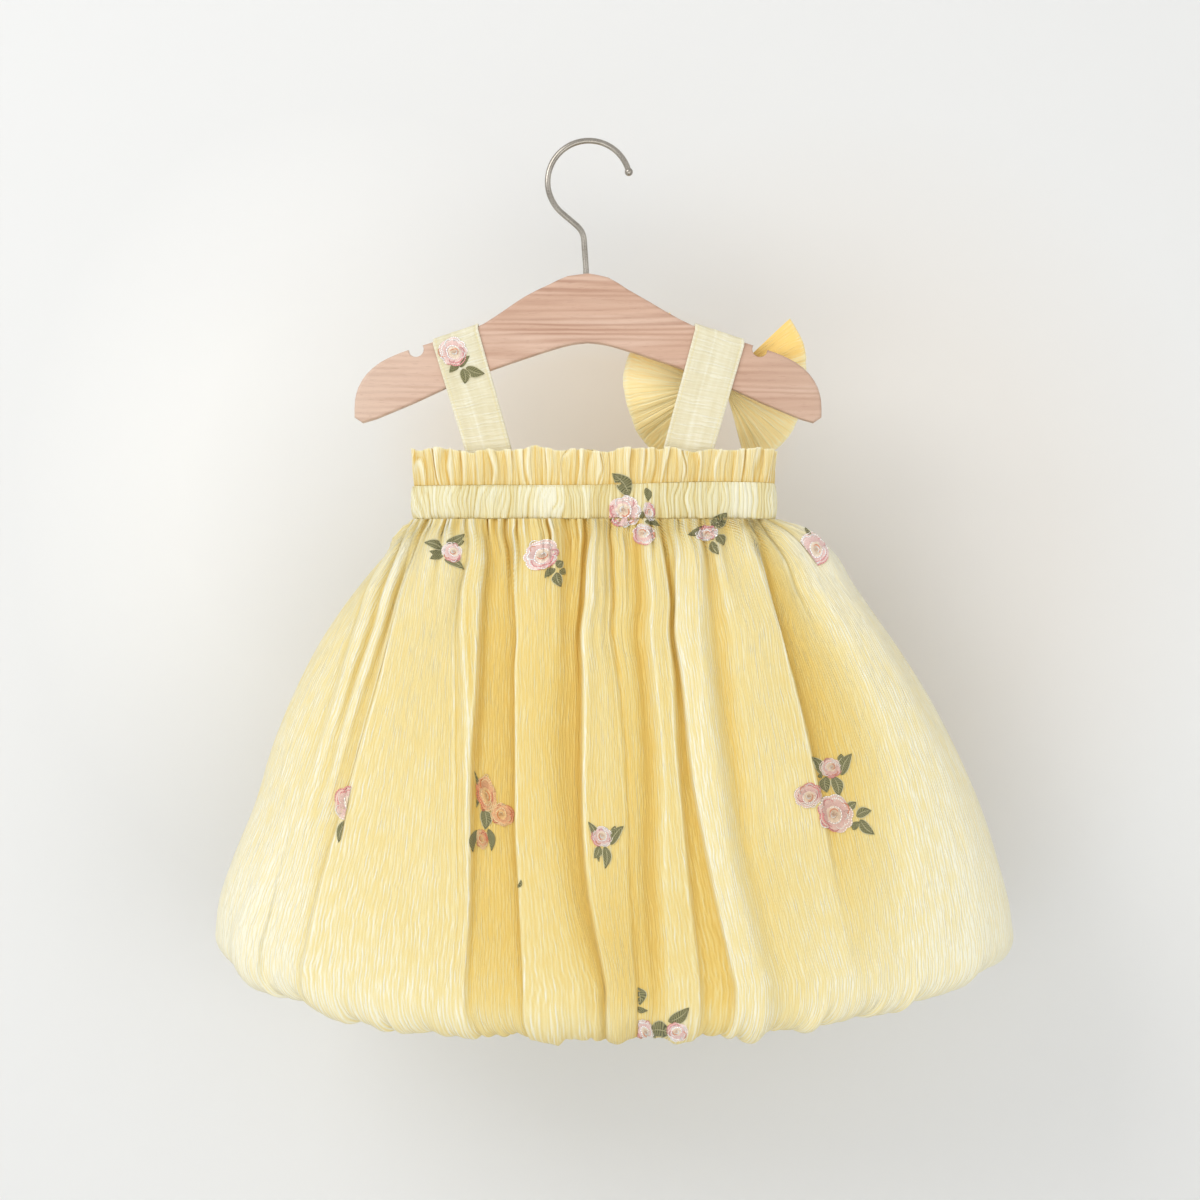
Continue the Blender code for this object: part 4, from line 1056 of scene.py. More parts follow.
def strap_leg(strap, across, share):
    """Points across a strap's front leg, from 0 at the board to 1 at its foot inside the casing."""
    foot_x, crossing_x, half_width = (size * MM for size in strap)
    top_x = crossing_x + across * half_width
    low_x = foot_x + across * half_width
    x = top_x + (low_x - top_x) * min(share / STRAP_LEANS_TO, 1)
    top_z = hanger_top(top_x) - STRAP_SHOULDER
    z = top_z + (STRAP_FOOT_Z - top_z) * share
    sewn = casing_depth(low_x) - STRAP_STANDS_IN
    spread = eased((share - STRAP_SPREADS[0]) / (STRAP_SPREADS[1] - STRAP_SPREADS[0]))
    return np.stack([x, STRAP_CLEAR + (sewn - STRAP_CLEAR) * spread, z], axis=1)


def strap_middle(strap, across):
    """The strip's middle surface: up the front, over the wood and down the back."""
    leg = np.array([strap_leg(strap, across, share) for share in np.linspace(0.02, 1, STRAP_LEG_ROWS)])
    over = []
    for angle in np.radians(np.linspace(90, -90, STRAP_OVER_ROWS)):
        row = strap_leg(strap, across, 0)
        row[:, 1] = STRAP_CLEAR * math.copysign(abs(math.sin(angle)) ** 0.5, angle)
        row[:, 2] += STRAP_RISE * abs(math.cos(angle)) ** 0.5
        over.append(row)
    return np.concatenate([leg[::-1], over, leg * (1, -1, 1)])


def strap_cloth(name, strap, seed, material):
    """A doubled strip with pressed edges and a crease, and the two lines that its stitches follow."""
    even = np.linspace(-1, 1, STRAP_ACROSS)
    across = np.sin(even * math.pi / 2) * 0.35 + even * 0.65
    grid = strap_middle(strap, across)
    normal = normals_of(grid, around=False)
    half_width = strap[2] * MM
    share, v = np.meshgrid(across, lengths_along(grid[:, STRAP_ACROSS // 2]))
    wander = 0.8 * lattice((share + 1) * 4, v / (30 * MM), 16, seed)
    crest = crest_of(lattice((share + 1) * 9 + wander, v / (24 * MM), 32, seed + 1))
    broad = lattice((share + 1) * 4 + wander, v / (50 * MM), 16, seed + 2)
    crease = eased(1 - np.abs(share - 0.05 - 0.22 * np.sin(v / (120 * MM) + seed)) / 0.09)
    across_it = lattice((share + 1) * 2.5 + 0.5 * wander, v / (4.2 * MM), 16, seed + 3)
    rise = MM * (crest * 0.08 + broad * 0.2 + crease * 0.28 + across_it * 0.07)
    edge = np.abs(across)[None, :]
    thick = STRAP_CLOTH * (1 - 0.75 * np.clip((edge - 0.93) / 0.07, 0, 1) ** 2)
    groove = eased(1 - np.abs(edge - STITCHED_AT) / 0.05)
    outer = grid + normal * (thick + rise - STITCHES_SINK * groove)[:, :, None]
    inner = grid - normal * (thick - STITCHES_SINK * groove)[:, :, None]
    rows, columns = grid.shape[:2]
    first = rows * columns
    faces = [grid_indices(rows, columns), grid_indices(rows, columns, first=first)[:, ::-1]]
    i = np.arange(rows - 1) * columns
    for j, order in ((0, -1), (columns - 1, 1)):
        side = np.stack([i + j, i + columns + j, first + i + columns + j, first + i + j], axis=1)
        faces.append(side[:, ::order])
    # Painted light on the crinkles' crests, the crease and the pressed edges, and painted shade in the
    # stitches' grooves.
    tone = 0.44 + 0.16 * crest + broad * 0.2 + crease * 0.3 - 0.15 * groove + 0.05 * across_it
    tone += 0.25 * np.clip((edge - 0.92) / 0.06, 0, 1)
    uv = np.stack([share * half_width, v], axis=2)
    points, faces = np.concatenate([outer, inner]), np.concatenate(faces)
    uv, tone = (np.concatenate([part, part]) for part in (uv, tone))
    made = mesh_object(name + "_cloth", points, faces, material, uv, tone)
    stitched = [int(np.argmin(np.abs(across - at))) for at in (-STITCHED_AT, STITCHED_AT)]
    return made, [(outer + normal * 0.06 * MM)[:, at] for at in stitched]


# --- The bow ---
BOW_COLUMNS = 180
BOW_ROWS = 72
FLAT_TOP_FROM = 0.70  # the share of the fan above which the cloth is laid flat over the pleats
BOW_FOLDS, BOW_PLEATS, BOW_FINE_PLEATS = 6, 17, 41
BOW_CLOTH = (110 * MM, 120 * MM)


def loop_points(side, edge, fan, round_it):
    """A loop's surface: over its fan from the lowest point to the highest, and round from front to back."""
    known = np.linspace(0, 1, len(edge))
    angle = np.radians(curve_at(fan, known, column(edge, 0)))
    reach = curve_at(fan, known, column(edge, 1)) * MM
    root_z = (2 * fan - 1) * BOW_ROOT_HALF_HEIGHT
    grid = []
    for angle_round in round_it:
        out = math.sin(angle_round)
        x = BOW_ROOT_X + (reach * np.cos(angle) - BOW_ROOT_X) * out
        z = BOW_Z + root_z + (reach * np.sin(angle) - root_z) * out
        puff = BOW_HALF_PUFF * (BOW_ROOT_PUFF + (1 - BOW_ROOT_PUFF) * out)
        below = np.maximum(BOW_Z - z, 0)
        y = BOW_Y - puff * math.cos(angle_round) + BOW_LEAN * below**2 / (below + BOW_LEAN_BEND)
        grid.append(np.stack([BOW_X + side * x, y, z], axis=1))
    return np.array(grid)


def bow_loop(name, side, edge, seed, material):
    """A pleated loop, whose pleats start at the knot and fade towards its outer edge."""
    fan = np.linspace(0, 1, BOW_COLUMNS)
    round_it = np.radians(np.linspace(0, 180, BOW_ROWS))
    grid = loop_points(side, edge, fan, round_it)
    out, share = np.sin(round_it)[:, None], fan[None, :]
    main = np.cos(share * 2 * math.pi * BOW_FOLDS) * MM * out * (1 - 0.85 * out**3)
    bunch = 1.6 * lattice(share * 7, 0.5, 16, seed)
    sharp = (0.5 + 0.5 * np.cos(share * 2 * math.pi * BOW_PLEATS + bunch)) ** 2
    small = 0.5 + 0.5 * np.cos(share * 2 * math.pi * BOW_FINE_PLEATS + 2 * bunch)
    length = 0.55 + 0.45 * lattice(share * 15, 0.5, 24, seed + 1)
    flat_top = eased((share - FLAT_TOP_FROM - 0.02) / 0.05)
    fade = np.clip(1.18 - out * (1.36 - length * 0.62), 0, 1) * (1 - 0.75 * flat_top)
    rooted = (sharp * 0.85 + small * 0.25) * fade * MM * np.clip(out * 3 + 0.25, 0, 1)
    step = 0.8 * MM * eased((share - FLAT_TOP_FROM) / 0.025) * eased((out - 0.15) / 0.4)
    points = grid + normals_of(grid, around=False) * (main + rooted + step)[:, :, None]
    # Painted light on the pleats, towards the rim and on the rolled outer edge, painted shade over the flat
    # top, and a painted shadow line at the flat top's step.
    tone = 0.40 + (0.34 * sharp + 0.14 * small) * fade + 0.10 * out**3 - 0.50 * flat_top
    tone += 0.30 * np.clip((out - 0.93) / 0.07, 0, 1)
    tone -= 0.35 * bell(share - FLAT_TOP_FROM - 0.005, 0.012) * out
    uv = np.stack(np.meshgrid(fan * BOW_CLOTH[0], np.linspace(0, BOW_CLOTH[1], BOW_ROWS)), axis=2)
    return cloth(name + "_cloth", points, uv, tone, material)


def bow_knot(material):
    """A band of the same cloth wrapped round the bow's middle, with folds that run round it."""
    squareness = 2.8
    half_x, half_y, half_z = (size / 2 for size in BOW_KNOT)
    across, around = np.linspace(-1, 1, 41)[:, None], (np.arange(120) / 120)[None, :]
    angle = around * 2 * math.pi
    shift = 0.35 * np.sin(angle + 0.7) * (1 - np.abs(across))
    folds = 0.5 + 0.5 * np.cos((across + 0.2 * shift) * math.pi * 3.6 + 0.5)
    size = 1 - 0.34 * np.abs(across) ** 5 - 0.09 * (1 - folds)
    middle_y = STRAP_CLEAR + 0.7 * MM + SEAM_GAP + half_y
    points = np.stack([
        BOW_X + across * half_x * 0.98 * np.ones_like(size),
        middle_y + squared(np.cos(angle), squareness) * half_y * size,
        BOW_Z + squared(np.sin(angle), squareness) * half_z * size,
    ], axis=2)
    uv = np.stack(np.broadcast_arrays(around * 60 * MM, across * 12 * MM), axis=2)
    # The tone paints shade in the folds and light on their crests.
    return cloth("bow_knot_cloth", points, uv, 0.2 + 0.6 * folds, material, around=True)


# --- The hanger's hook ---
WIRE_SIDES = 20


def hook_wire(material):
    """The bent wire, from the wood up its stem and round the hook to the ball on its free end."""
    centre = np.array([HOOK_CENTRE_X, WIRE_RADIUS - HOOK_RADIUS])
    angles = np.linspace(HOOK_OPENING, HOOK_LEAVES, 90)
    ring = centre + HOOK_RADIUS * np.stack([np.cos(angles), np.sin(angles)], axis=1)
    bend, wood_top = np.array(HOOK_BEND), HANGER_TOP[0][1] * MM
    enters = np.array([STEM_FOOT_X, wood_top + 3 * MM])
    foot = np.array([STEM_FOOT_X, wood_top - STEM_DEPTH + SEAM_GAP])
    into, out = bend - ring[-1], enters - bend
    reach = 6 * MM
    start = bend - into / np.linalg.norm(into) * reach
    end = bend + out / np.linalg.norm(out) * reach
    t = np.linspace(0, 1, 14)[:, None]
    corner = (1 - t) ** 2 * start + 2 * t * (1 - t) * bend + t * t * end
    line = np.concatenate([ring, corner, [enters, foot]])
    line = np.stack([line[:, 0], np.zeros(len(line)), line[:, 1]], axis=1)
    way = line[0] - line[1]
    way /= np.linalg.norm(way)
    tip_angles = np.linspace(-math.pi / 2, math.pi / 2, 13)
    tip = [line[0] + way * math.sin(angle) * HOOK_TIP_RADIUS for angle in tip_angles]
    ball = tube(tip, np.maximum(np.cos(tip_angles), 0.02) * HOOK_TIP_RADIUS, WIRE_SIDES)
    wire = tube(line[::-1], WIRE_RADIUS, WIRE_SIDES)
    return mesh_object("hook_wire_steel", *joined([wire, ball]), material)


# --- Embroidery ---
PINK, PALE, WHITE = srgb(251, 210, 203), srgb(255, 236, 226), srgb(255, 254, 252)
CREAM, CORAL, PEACH = srgb(254, 234, 206), srgb(236, 160, 128), srgb(252, 214, 186)
ROSY = srgb(232, 160, 160)
GREEN, DARK, LIGHT = srgb(172, 168, 120), srgb(66, 65, 32), srgb(250, 242, 198)
RIM_POINTS = 34
CORD_SIDES = 5
LEAF_BEND = 0.10
CORDED_FROM = 3.5  # wider leaves than this have cords
ROSE_TURN = 0.3
LIFTED_OFF = 0.12 * MM  # what lies between the cloth and a motif's lowest points
TOWARDS_EYE = 0.8  # how much of a motif's lift is towards the eye, beside 1 away from the cloth
MOST_DEPTH = 6 * MM  # a face that reaches deeper than this bridges two folds, and is left out


def blend(a, b, share):
    share = np.clip(np.asarray(share, float), 0, 1)[..., None]
    return np.asarray(a) * (1 - share) + np.asarray(b) * share


def raised(flat, lift):
    """The x, z and lift of points out of their x and z."""
    return np.concatenate([flat, np.broadcast_to(lift, flat.shape[:-1])[..., None]], axis=-1)


def outline(centre, size, turn, lobes, depth, phase):
    """A lobed, uneven oval, as a function from angles and shares of the way out to the x and z of points."""
    c, s = math.cos(turn), math.sin(turn)

    def at(angle, share):
        unevenly_round = angle + phase + 0.25 * np.sin(2 * angle + 3 * phase)
        notches = 1 - np.abs(np.cos(unevenly_round * lobes / 2)) ** 0.8
        uneven = notches + 0.5 + 0.5 * np.sin(2 * angle + 5 * phase)
        reach = share * (1 - depth * share**2 * uneven)
        x, z = reach * np.cos(angle) * size[0], reach * np.sin(angle) * size[1]
        return np.stack([centre[0] + x * c - z * s, centre[1] + x * s + z * c], axis=-1)

    return at


def pad(shape, radius, base, dome, colours, rings, around):
    """A domed patch of satin stitches. colours run from its middle to its edge."""
    angles = np.arange(around) / around * 2 * math.pi
    r, a = np.meshgrid(np.linspace(0.02, 1, rings), angles, indexing="ij")
    points = raised(shape(a, r), base + dome * np.sqrt(np.clip(1 - r**4, 0, 1)))
    known = np.linspace(0, 1, len(colours))
    colour = np.stack([np.interp(r, known, [shade[k] for shade in colours]) for k in range(4)], axis=-1)
    uv = np.stack([a, r], axis=-1) * radius * MM
    faces = grid_indices(rings, around, around=True)[:, ::-1]
    return points.reshape(-1, 3), faces, uv.reshape(-1, 2), colour.reshape(-1, 4)


def cord(line, width, colour, blunt=0.2, power=0.5, strands=0.0):
    """A cord of thread along a line, thinner at its ends. strands says how far its strands run per point."""
    radii = width * np.sin(np.linspace(blunt, math.pi - blunt, len(line))) ** power
    points, faces = tube(line, radii, CORD_SIDES)
    uv = np.stack([np.repeat(np.arange(len(line)), CORD_SIDES) * strands, np.zeros(len(points))], axis=1)
    return points, faces, uv, np.tile(colour, (len(points), 1))


def rim(shape, lift, colour, start, sweep, width):
    """A cord along part of a shape's edge."""
    line = raised(shape(np.linspace(start, start + sweep, RIM_POINTS), 1), lift)
    return cord(line, width, colour, 0.15, 0.4, 0.3 * MM)


def rose(x, z, half_width, half_height, turn, seed):
    """A lobed pad of satin stitches, under curled lines of thread round a pale heart that lies off its
    middle. In millimetres as seen."""
    chance = np.random.default_rng(seed)
    size, centre = np.array([half_width, half_height]), np.array([x, z])
    thick = 0.28 + 0.018 * min(half_width, half_height)
    phase = chance.uniform(0, 6)
    lobes = int(chance.integers(5, 8))
    shades = (blend(PINK, PALE, 0.7), PINK, blend(PINK, PALE, 0.3), blend(PINK, PALE, 0.8))
    parts = [pad(outline(centre, size, turn, lobes, 0.12, phase), max(size), 0.2, 0.6, shades, 8, 84)]
    for k in range(6):
        share, lift = (0.98, 0.42) if k < 3 else (0.80, 0.70)
        start = phase + 2.1 * k + chance.uniform(-0.4, 0.4)
        shade = blend(PALE, WHITE, chance.uniform(0.3, 1.0)) if k % 3 else ROSY
        edge = outline(centre, size * share, turn, lobes, 0.12, phase)
        parts.append(rim(edge, lift, shade, start, 1.8, thick))
    away = chance.uniform(0, 2 * math.pi)
    folds = int(chance.integers(6, 9))
    for k in range(folds):
        around = away + (k + chance.uniform(-0.3, 0.3)) * 2 * math.pi / folds
        middle = centre + chance.uniform(0.46, 0.68) * np.array([math.cos(around), math.sin(around)]) * size
        petal = outline(middle, size * chance.uniform(0.16, 0.34), 0.0, 2, 0.1, 0.4)
        start = around + chance.uniform(-1.7, -0.9)
        shade = (WHITE, ROSY, blend(PALE, WHITE, 0.6), WHITE, CORAL)[k % 5]
        parts.append(rim(petal, 0.80, shade, start, 2.9, 0.85 * thick))
    heart = centre + 0.10 * np.array([math.cos(away), math.sin(away)]) * size
    part = size * 0.50
    shades = (PEACH, CREAM, blend(CREAM, PALE, 0.7))
    parts.append(pad(outline(heart, part, turn, 5, 0.16, phase), max(part), 0.74, 0.3, shades, 6, 48))
    for share, colour, sweep in ((0.98, WHITE, 4.4), (0.62, CORAL, 2.8), (0.34, WHITE, 3.4)):
        start = chance.uniform(0, 6)
        off = heart + 0.06 * chance.uniform(-1, 1, 2) * size
        curl = outline(off, part * share, turn, 3, 0.14, start)
        parts.append(rim(curl, 1.02, colour, start, sweep, thick * 0.85))
    return parts


def leaf(x0, z0, x1, z1, width, bend, corded):
    """An almond of slanting satin stitches from its stalk to its tip, with a groove along its middle. A
    corded one has a vein and a cord along each edge too."""
    steps, across = 25, 9
    t, w = np.meshgrid(np.linspace(0, 1, steps), np.linspace(-1, 1, across), indexing="ij")
    way = np.array([x1 - x0, z1 - z0])
    stalk = np.array([x0, z0]) - 0.08 * way
    length = 1.14 * float(np.hypot(*way))
    way /= np.hypot(*way)
    side = np.array([-way[1], way[0]])

    def at(share, off):
        off = off + bend * length * np.sin(math.pi * share)
        return stalk + way * (share * length)[..., None] + side * off[..., None]

    half = 1.4 * width / 2 * np.sin(math.pi * t**0.8) ** 0.9 + 0.1
    along, off = t * length, w * half
    flat = at(t, off)
    dome = np.sqrt(np.clip(1 - w**2, 0, 1)) * np.sin(math.pi * t) ** 0.4
    lift = 0.2 + 0.5 * dome - 0.28 * (np.abs(w) < 0.15)
    colour = blend(GREEN, DARK, 0.5 + 0.5 * np.sin(2 * math.pi * (along / 1.5 + np.abs(off) / 1.3)))
    uv = np.stack([along + np.abs(off) * 0.9, off], axis=-1) * MM
    points, faces = raised(flat, lift).reshape(-1, 3), grid_indices(steps, across)
    parts = [(points, faces, uv.reshape(-1, 2), colour.reshape(-1, 4))]
    if corded:
        parts.append(cord(raised(at(np.linspace(0.12, 0.86, 14), 0), 0.62), 0.22, blend(GREEN, LIGHT, 0.6)))
        for edge, last in ((0, 23), (across - 1, 20)):
            parts.append(cord(raised(flat[2:last, edge], 0.40), 0.27, blend(GREEN, LIGHT, 0.8)))
    return parts


# Sprigs of the embroidery, in millimetres as the camera sees them. Roses are the x and z of their middle,
# their half width and half height. Leaves are their stalk's x and z, their tip's x and z and their width.
SPRIGS = {
    "a": (
        ((-87.4, -263.2, 6.9, 6.9),),
        (
            (-90.3, -256.6, -80.0, -251.7, 3.9), (-84.1, -258.2, -80.0, -256.1, 2.6),
            (-94.3, -260.7, -104.6, -257.0, 4.1), (-94.0, -262.9, -101.7, -262.3, 2.6),
            (-94.0, -265.6, -101.3, -267.2, 3.2), (-91.5, -268.1, -80.5, -273.8, 3.9),
        ),
    ),
    "b": (
        ((-30.1, -264.8, 12.9, 10.1),),
        (
            (-21.6, -274.1, -27.6, -279.3, 3.2), (-19.8, -272.5, -16.4, -269.0, 3.9),
            (-20.2, -276.8, -17.6, -284.9, 4.5), (-18.1, -275.0, -14.6, -276.8, 3.2),
        ),
    ),
    "c": (
        ((39.5, -236.9, 3.9, 6.4), (35.8, -251.7, 8.2, 7.1), (23.4, -236.9, 10.9, 11.6)),
        (
            (25.9, -225.4, 16.1, -213.0, 7.1), (37.3, -222.3, 38.6, -230.0, 3.2),
            (34.1, -236.9, 35.4, -241.6, 2.6), (37.3, -243.4, 45.6, -245.9, 2.6),
        ),
    ),
    "d": (
        ((76.4, -250.8, 7.7, 5.3),),
        (
            (80.1, -245.1, 88.7, -238.1, 6.0), (73.5, -246.8, 64.5, -251.7, 3.2),
            (80.1, -256.6, 83.8, -264.0, 3.9), (83.4, -252.5, 87.1, -258.2, 4.5),
        ),
    ),
    "e": (
        ((145.8, -260.8, 9.5, 12.0),),
        ((140.2, -247.5, 152.8, -258.4, 2.0),),
    ),
    "f": (
        ((-152.0, -426.0, 12.0, 13.8),),
        ((-154.5, -436.0, -160.2, -449.2, 4.0),),
    ),
    "g": (
        ((-68.2, -447.8, 4.1, 6.8), (-65.5, -418.5, 6.4, 13.5), (-55.1, -432.0, 8.0, 8.4)),
        (
            (-71.8, -425.7, -73.2, -405.3, 1.9), (-67.0, -429.3, -66.3, -441.0, 5.2),
            (-71.8, -442.9, -74.1, -455.5, 3.2), (-64.1, -442.0, -62.3, -454.6, 3.2),
            (-44.9, -478.6, -43.2, -474.2, 1.5),
        ),
    ),
    "h": (
        ((8.8, -446.2, 6.9, 7.7),),
        (
            (5.5, -450.5, 0.4, -437.3, 3.9), (15.0, -450.5, 22.4, -439.9, 4.5),
            (15.3, -443.6, 17.3, -439.5, 2.6), (7.1, -452.8, 4.2, -459.7, 3.9),
            (7.7, -453.4, 7.1, -461.8, 1.9), (10.8, -453.4, 11.1, -465.9, 3.9),
        ),
    ),
    "i": (
        ((141.7, -419.6, 9.3, 9.0), (159.3, -431.3, 12.2, 13.2), (156.1, -402.0, 7.4, 7.1)),
        (
            (150.7, -405.6, 144.4, -395.4, 4.5), (163.4, -405.6, 169.3, -393.4, 5.2),
            (162.0, -397.4, 162.9, -393.2, 3.2), (150.7, -406.5, 148.0, -407.4, 1.9),
            (153.0, -408.3, 153.7, -417.3, 5.2), (157.9, -408.3, 161.1, -420.0, 5.2),
            (167.0, -426.8, 172.2, -424.1, 3.9), (173.3, -432.7, 181.9, -429.5, 4.5),
            (175.6, -435.9, 183.9, -444.2, 4.5), (170.6, -441.3, 174.7, -436.8, 3.2),
        ),
    ),
    "j": (
        ((36.4, -571.4, 5.8, 9.0), (57.5, -571.7, 6.8, 7.1)),
        (
            (31.3, -556.4, 38.0, -558.0, 2.6), (31.6, -544.0, 33.4, -554.0, 6.0),
            (52.7, -564.7, 64.4, -556.6, 5.4), (40.2, -571.0, 52.9, -572.5, 8.0),
        ),
    ),
    "strap": (
        ((-86.8, -133.8, 10.3, 9.7),),
        (
            (-83.6, -142.9, -88.9, -147.1, 3.2), (-82.0, -143.4, -76.7, -137.0, 3.2),
            (-77.7, -144.5, -67.3, -147.9, 4.8), (-80.4, -145.6, -79.3, -154.1, 4.5),
        ),
    ),
}
# Lines that a fold, a seam or an edge cuts a sprig off at: x and z of two points, with what is kept on the
# left of someone who walks from the first to the second.
CUT_AT = {
    "c": (13.8, -200.0, 13.8, -280.0),
    "e": (129.4, -247.2, 149.4, -273.8),
    "f": (-165.2, -478.0, -147.3, -388.0),
    "j": (31.9, -520.0, 31.9, -600.0),
    "strap": (-98.2, -129.6, -79.0, -188.2),
}
# The painted shade and golden light of a hollow, or the veil of a layer of cloth over it, multiplied into a
# sprig's colours.
SPRIG_SHADE_TINTS = {
    "f": (0.96, 0.93, 0.86), "g": (0.90, 0.68, 0.38), "h": (0.92, 0.90, 0.88), "i": (0.86, 0.79, 0.72),
}
# Where the front's sprigs lie: which one, how far to move it, and whether it is mirrored about its middle.
FRONT_SPRIGS = (
    ("a", 22, -6, False), ("b", 70, 8, True), ("d", -168, -2, True), ("d", 10, -8, False),
    ("h", -120, 62, False),
    ("i", -120, 22, True), ("h", 60, 40, True), ("i", -230, -46, False), ("b", 160, -160, False),
    ("a", -60, -210, True), ("h", 120, -58, False), ("d", -66, -118, True), ("a", 186, -250, False),
)


def sprig(key, seed, move=(0, 0), mirrored=False):
    """The parts of one sprig. One that isn't moved takes the painted shade of where it lies, and what lies
    beyond its cut is pressed onto the cut."""
    roses, leaves = SPRIGS[key]
    middle = sum(row[0] for row in roses) / len(roses)
    sense = -1 if mirrored else 1
    moved = move != (0, 0)

    def place(x):
        return middle + (x - middle) * sense + move[0]

    parts = []
    for number, (x0, z0, x1, z1, width) in enumerate(leaves):
        bend = LEAF_BEND if number % 2 else -LEAF_BEND
        corded = width > CORDED_FROM
        parts += leaf(place(x0), z0 + move[1], place(x1), z1 + move[1], width, bend * sense, corded)
    # The painted shade and golden light of a hollow, or the veil of cloth over it, on sprigs that stay in
    # place.
    tint = (1, 1, 1) if moved else SPRIG_SHADE_TINTS.get(key, (1, 1, 1))
    for number, (x, z, half_width, half_height) in enumerate(roses):
        petals = rose(place(x), z + move[1], half_width, half_height, ROSE_TURN, seed + number)
        parts += [(points, faces, uv, colour * (*tint, 1)) for points, faces, uv, colour in petals]
    if moved or key not in CUT_AT:
        return parts
    x0, z0, x1, z1 = CUT_AT[key]
    normal = np.array([z0 - z1, x1 - x0]) / math.hypot(x1 - x0, z1 - z0)
    cut = []
    for points, faces, uv, colour in parts:
        beyond = np.minimum((points[:, :2] - (x0, z0)) @ normal, 0)
        points[:, :2] -= beyond[:, None] * normal
        cut.append((points, faces[~(beyond[faces] < 0).all(axis=1)], uv, colour))
    return cut


def laid_on(name, parts, tree, eye, material):
    """Motifs whose points are x, z and lift as seen from the eye, laid on what is seen there."""
    eye = Vector(eye)
    laid_parts = []
    for points, faces, uv, colour in parts:
        laid, found = np.zeros((len(points), 3)), np.zeros(len(points), bool)
        for number, (x, z, lift) in enumerate(points):
            aim = (Vector((x * MM, 0, z * MM)) - eye).normalized()
            hit, normal, _, _ = tree.ray_cast(eye, aim)
            if hit is None:
                continue
            if normal.dot(aim) > 0:
                normal = -normal
            found[number] = True
            laid[number] = hit + (normal - aim * TOWARDS_EYE).normalized() * (lift * MM + LIFTED_OFF)
        near = np.ptp(laid[faces][:, :, 1], axis=1) < MOST_DEPTH
        laid_parts.append((laid, faces[found[faces].all(axis=1) & near], uv, colour))
    points, faces, uv, colours = joined([part for part in laid_parts if len(part[1])])
    used = np.unique(faces)
    renumbered = np.zeros(len(points), int)
    renumbered[used] = np.arange(len(used))
    return mesh_object(name, points[used], renumbered[faces], material, uv[used], thread_colour=colours[used])


def tree_of(objects):
    """What rays are cast at: the faces of these objects."""
    parts = []
    for item in objects:
        mesh = item.data
        points = np.empty(len(mesh.vertices) * 3)
        mesh.vertices.foreach_get("co", points)
        faces = np.empty(len(mesh.loops), np.int32)
        mesh.loops.foreach_get("vertex_index", faces)
        parts.append((points.reshape(-1, 3), faces.reshape(-1, 4)))
    return BVHTree.FromPolygons(*(part.tolist() for part in joined(parts)))


# --- Put together ---
CREPES = {
    # name: its colours from a hollow's painted shade to a crest's painted highlight, the colour of the light
    # that comes through it, its settings
    "skirt_crepe": ((
        (-0.2, 224, 191, 104), (0.0, 235, 206, 120), (0.30, 239, 219, 149), (0.60, 244, 231, 173),
        (0.80, 248, 241, 202), (1.0, 252, 252, 232),
    ), (250, 212, 96), {}),
    "casing_crepe": ((
        (0.0, 212, 186, 112), (0.45, 233, 221, 168), (0.75, 244, 239, 200), (1.0, 250, 249, 226),
    ), (246, 226, 140), {"crinkle": 0.7}),
    "frill_crepe": ((
        (0.0, 226, 190, 106), (0.4, 240, 221, 158), (0.75, 247, 237, 194), (1.0, 252, 249, 222),
    ), (250, 214, 104), {"crinkle": 0.7}),
    "strap_crepe": ((
        (0.0, 226, 216, 178), (0.5, 239, 233, 204), (1.0, 253, 251, 234),
    ), (246, 232, 180), {"crinkle": 0.8, "contrast": 0.75, "across": True}),
    # The bow's paler colours are painted light, against the shade it lies in behind the strap and board.
    "bow_crepe": ((
        (0.0, 255, 219, 134), (0.5, 255, 237, 178), (1.0, 255, 249, 212),
    ), (252, 218, 120), {"crinkle": 0.6, "see": 0.05, "fine": 0.9, "contrast": 0.7}),
    "sewing_thread": ((
        (0.0, 236, 218, 150), (0.5, 246, 236, 180), (1.0, 252, 246, 208),
    ), (240, 220, 150), {"crinkle": 0.5, "see": 0.1}),
}
SHEETS = {
    # node: slot, the flat piece's width and length in metres, how it is held and what it rests on
    "skirt_back_left": ("skirt_cloth", (0.35, 0.45), "gathered", ["casing_back", "casing_front"]),
    "skirt_back_right": ("skirt_cloth", (0.31, 0.45), "gathered", ["casing_back", "casing_front"]),
    "skirt_front": ("skirt_cloth", (0.66, 0.45), "gathered", ["casing_back", "casing_front"]),
    "hem_casing": ("skirt_cloth", (1.1, 0.012), "gathered", ["skirt_front"]),
    "casing_back": ("casing_cloth", (0.30, 0.022), "gathered", ["skirt_front"]),
    "frill_back": ("frill_cloth", (0.30, 0.025), "gathered", ["casing_back"]),
    "casing_front": ("casing_cloth", (0.30, 0.022), "gathered", ["skirt_front"]),
    "frill_front": ("frill_cloth", (0.30, 0.025), "gathered", ["casing_front"]),
    "strap_left": ("strap_cloth", (0.029, 0.25), "hung", ["hanger_body"]),
    "strap_right": ("strap_cloth", (0.0316, 0.25), "hung", ["hanger_body"]),
    "bow_loop_left": ("bow_cloth", (0.102, 0.1), "gathered", ["strap_right"]),
    "bow_loop_right": ("bow_cloth", (0.102, 0.1), "gathered", ["strap_right"]),
    "bow_knot": ("bow_cloth", (0.052, 0.022), "gathered", ["strap_right"]),
}
crepes = {key: crepe(key, steps, through, **rest) for key, (steps, through, rest) in CREPES.items()}
around_skirt, around_bodice = BACK_COLUMNS + FRONT_COLUMNS, BODICE_COLUMNS
seam, side_seam = round(CENTRE_SEAM_TURN * 2 * BACK_COLUMNS), BACK_COLUMNS
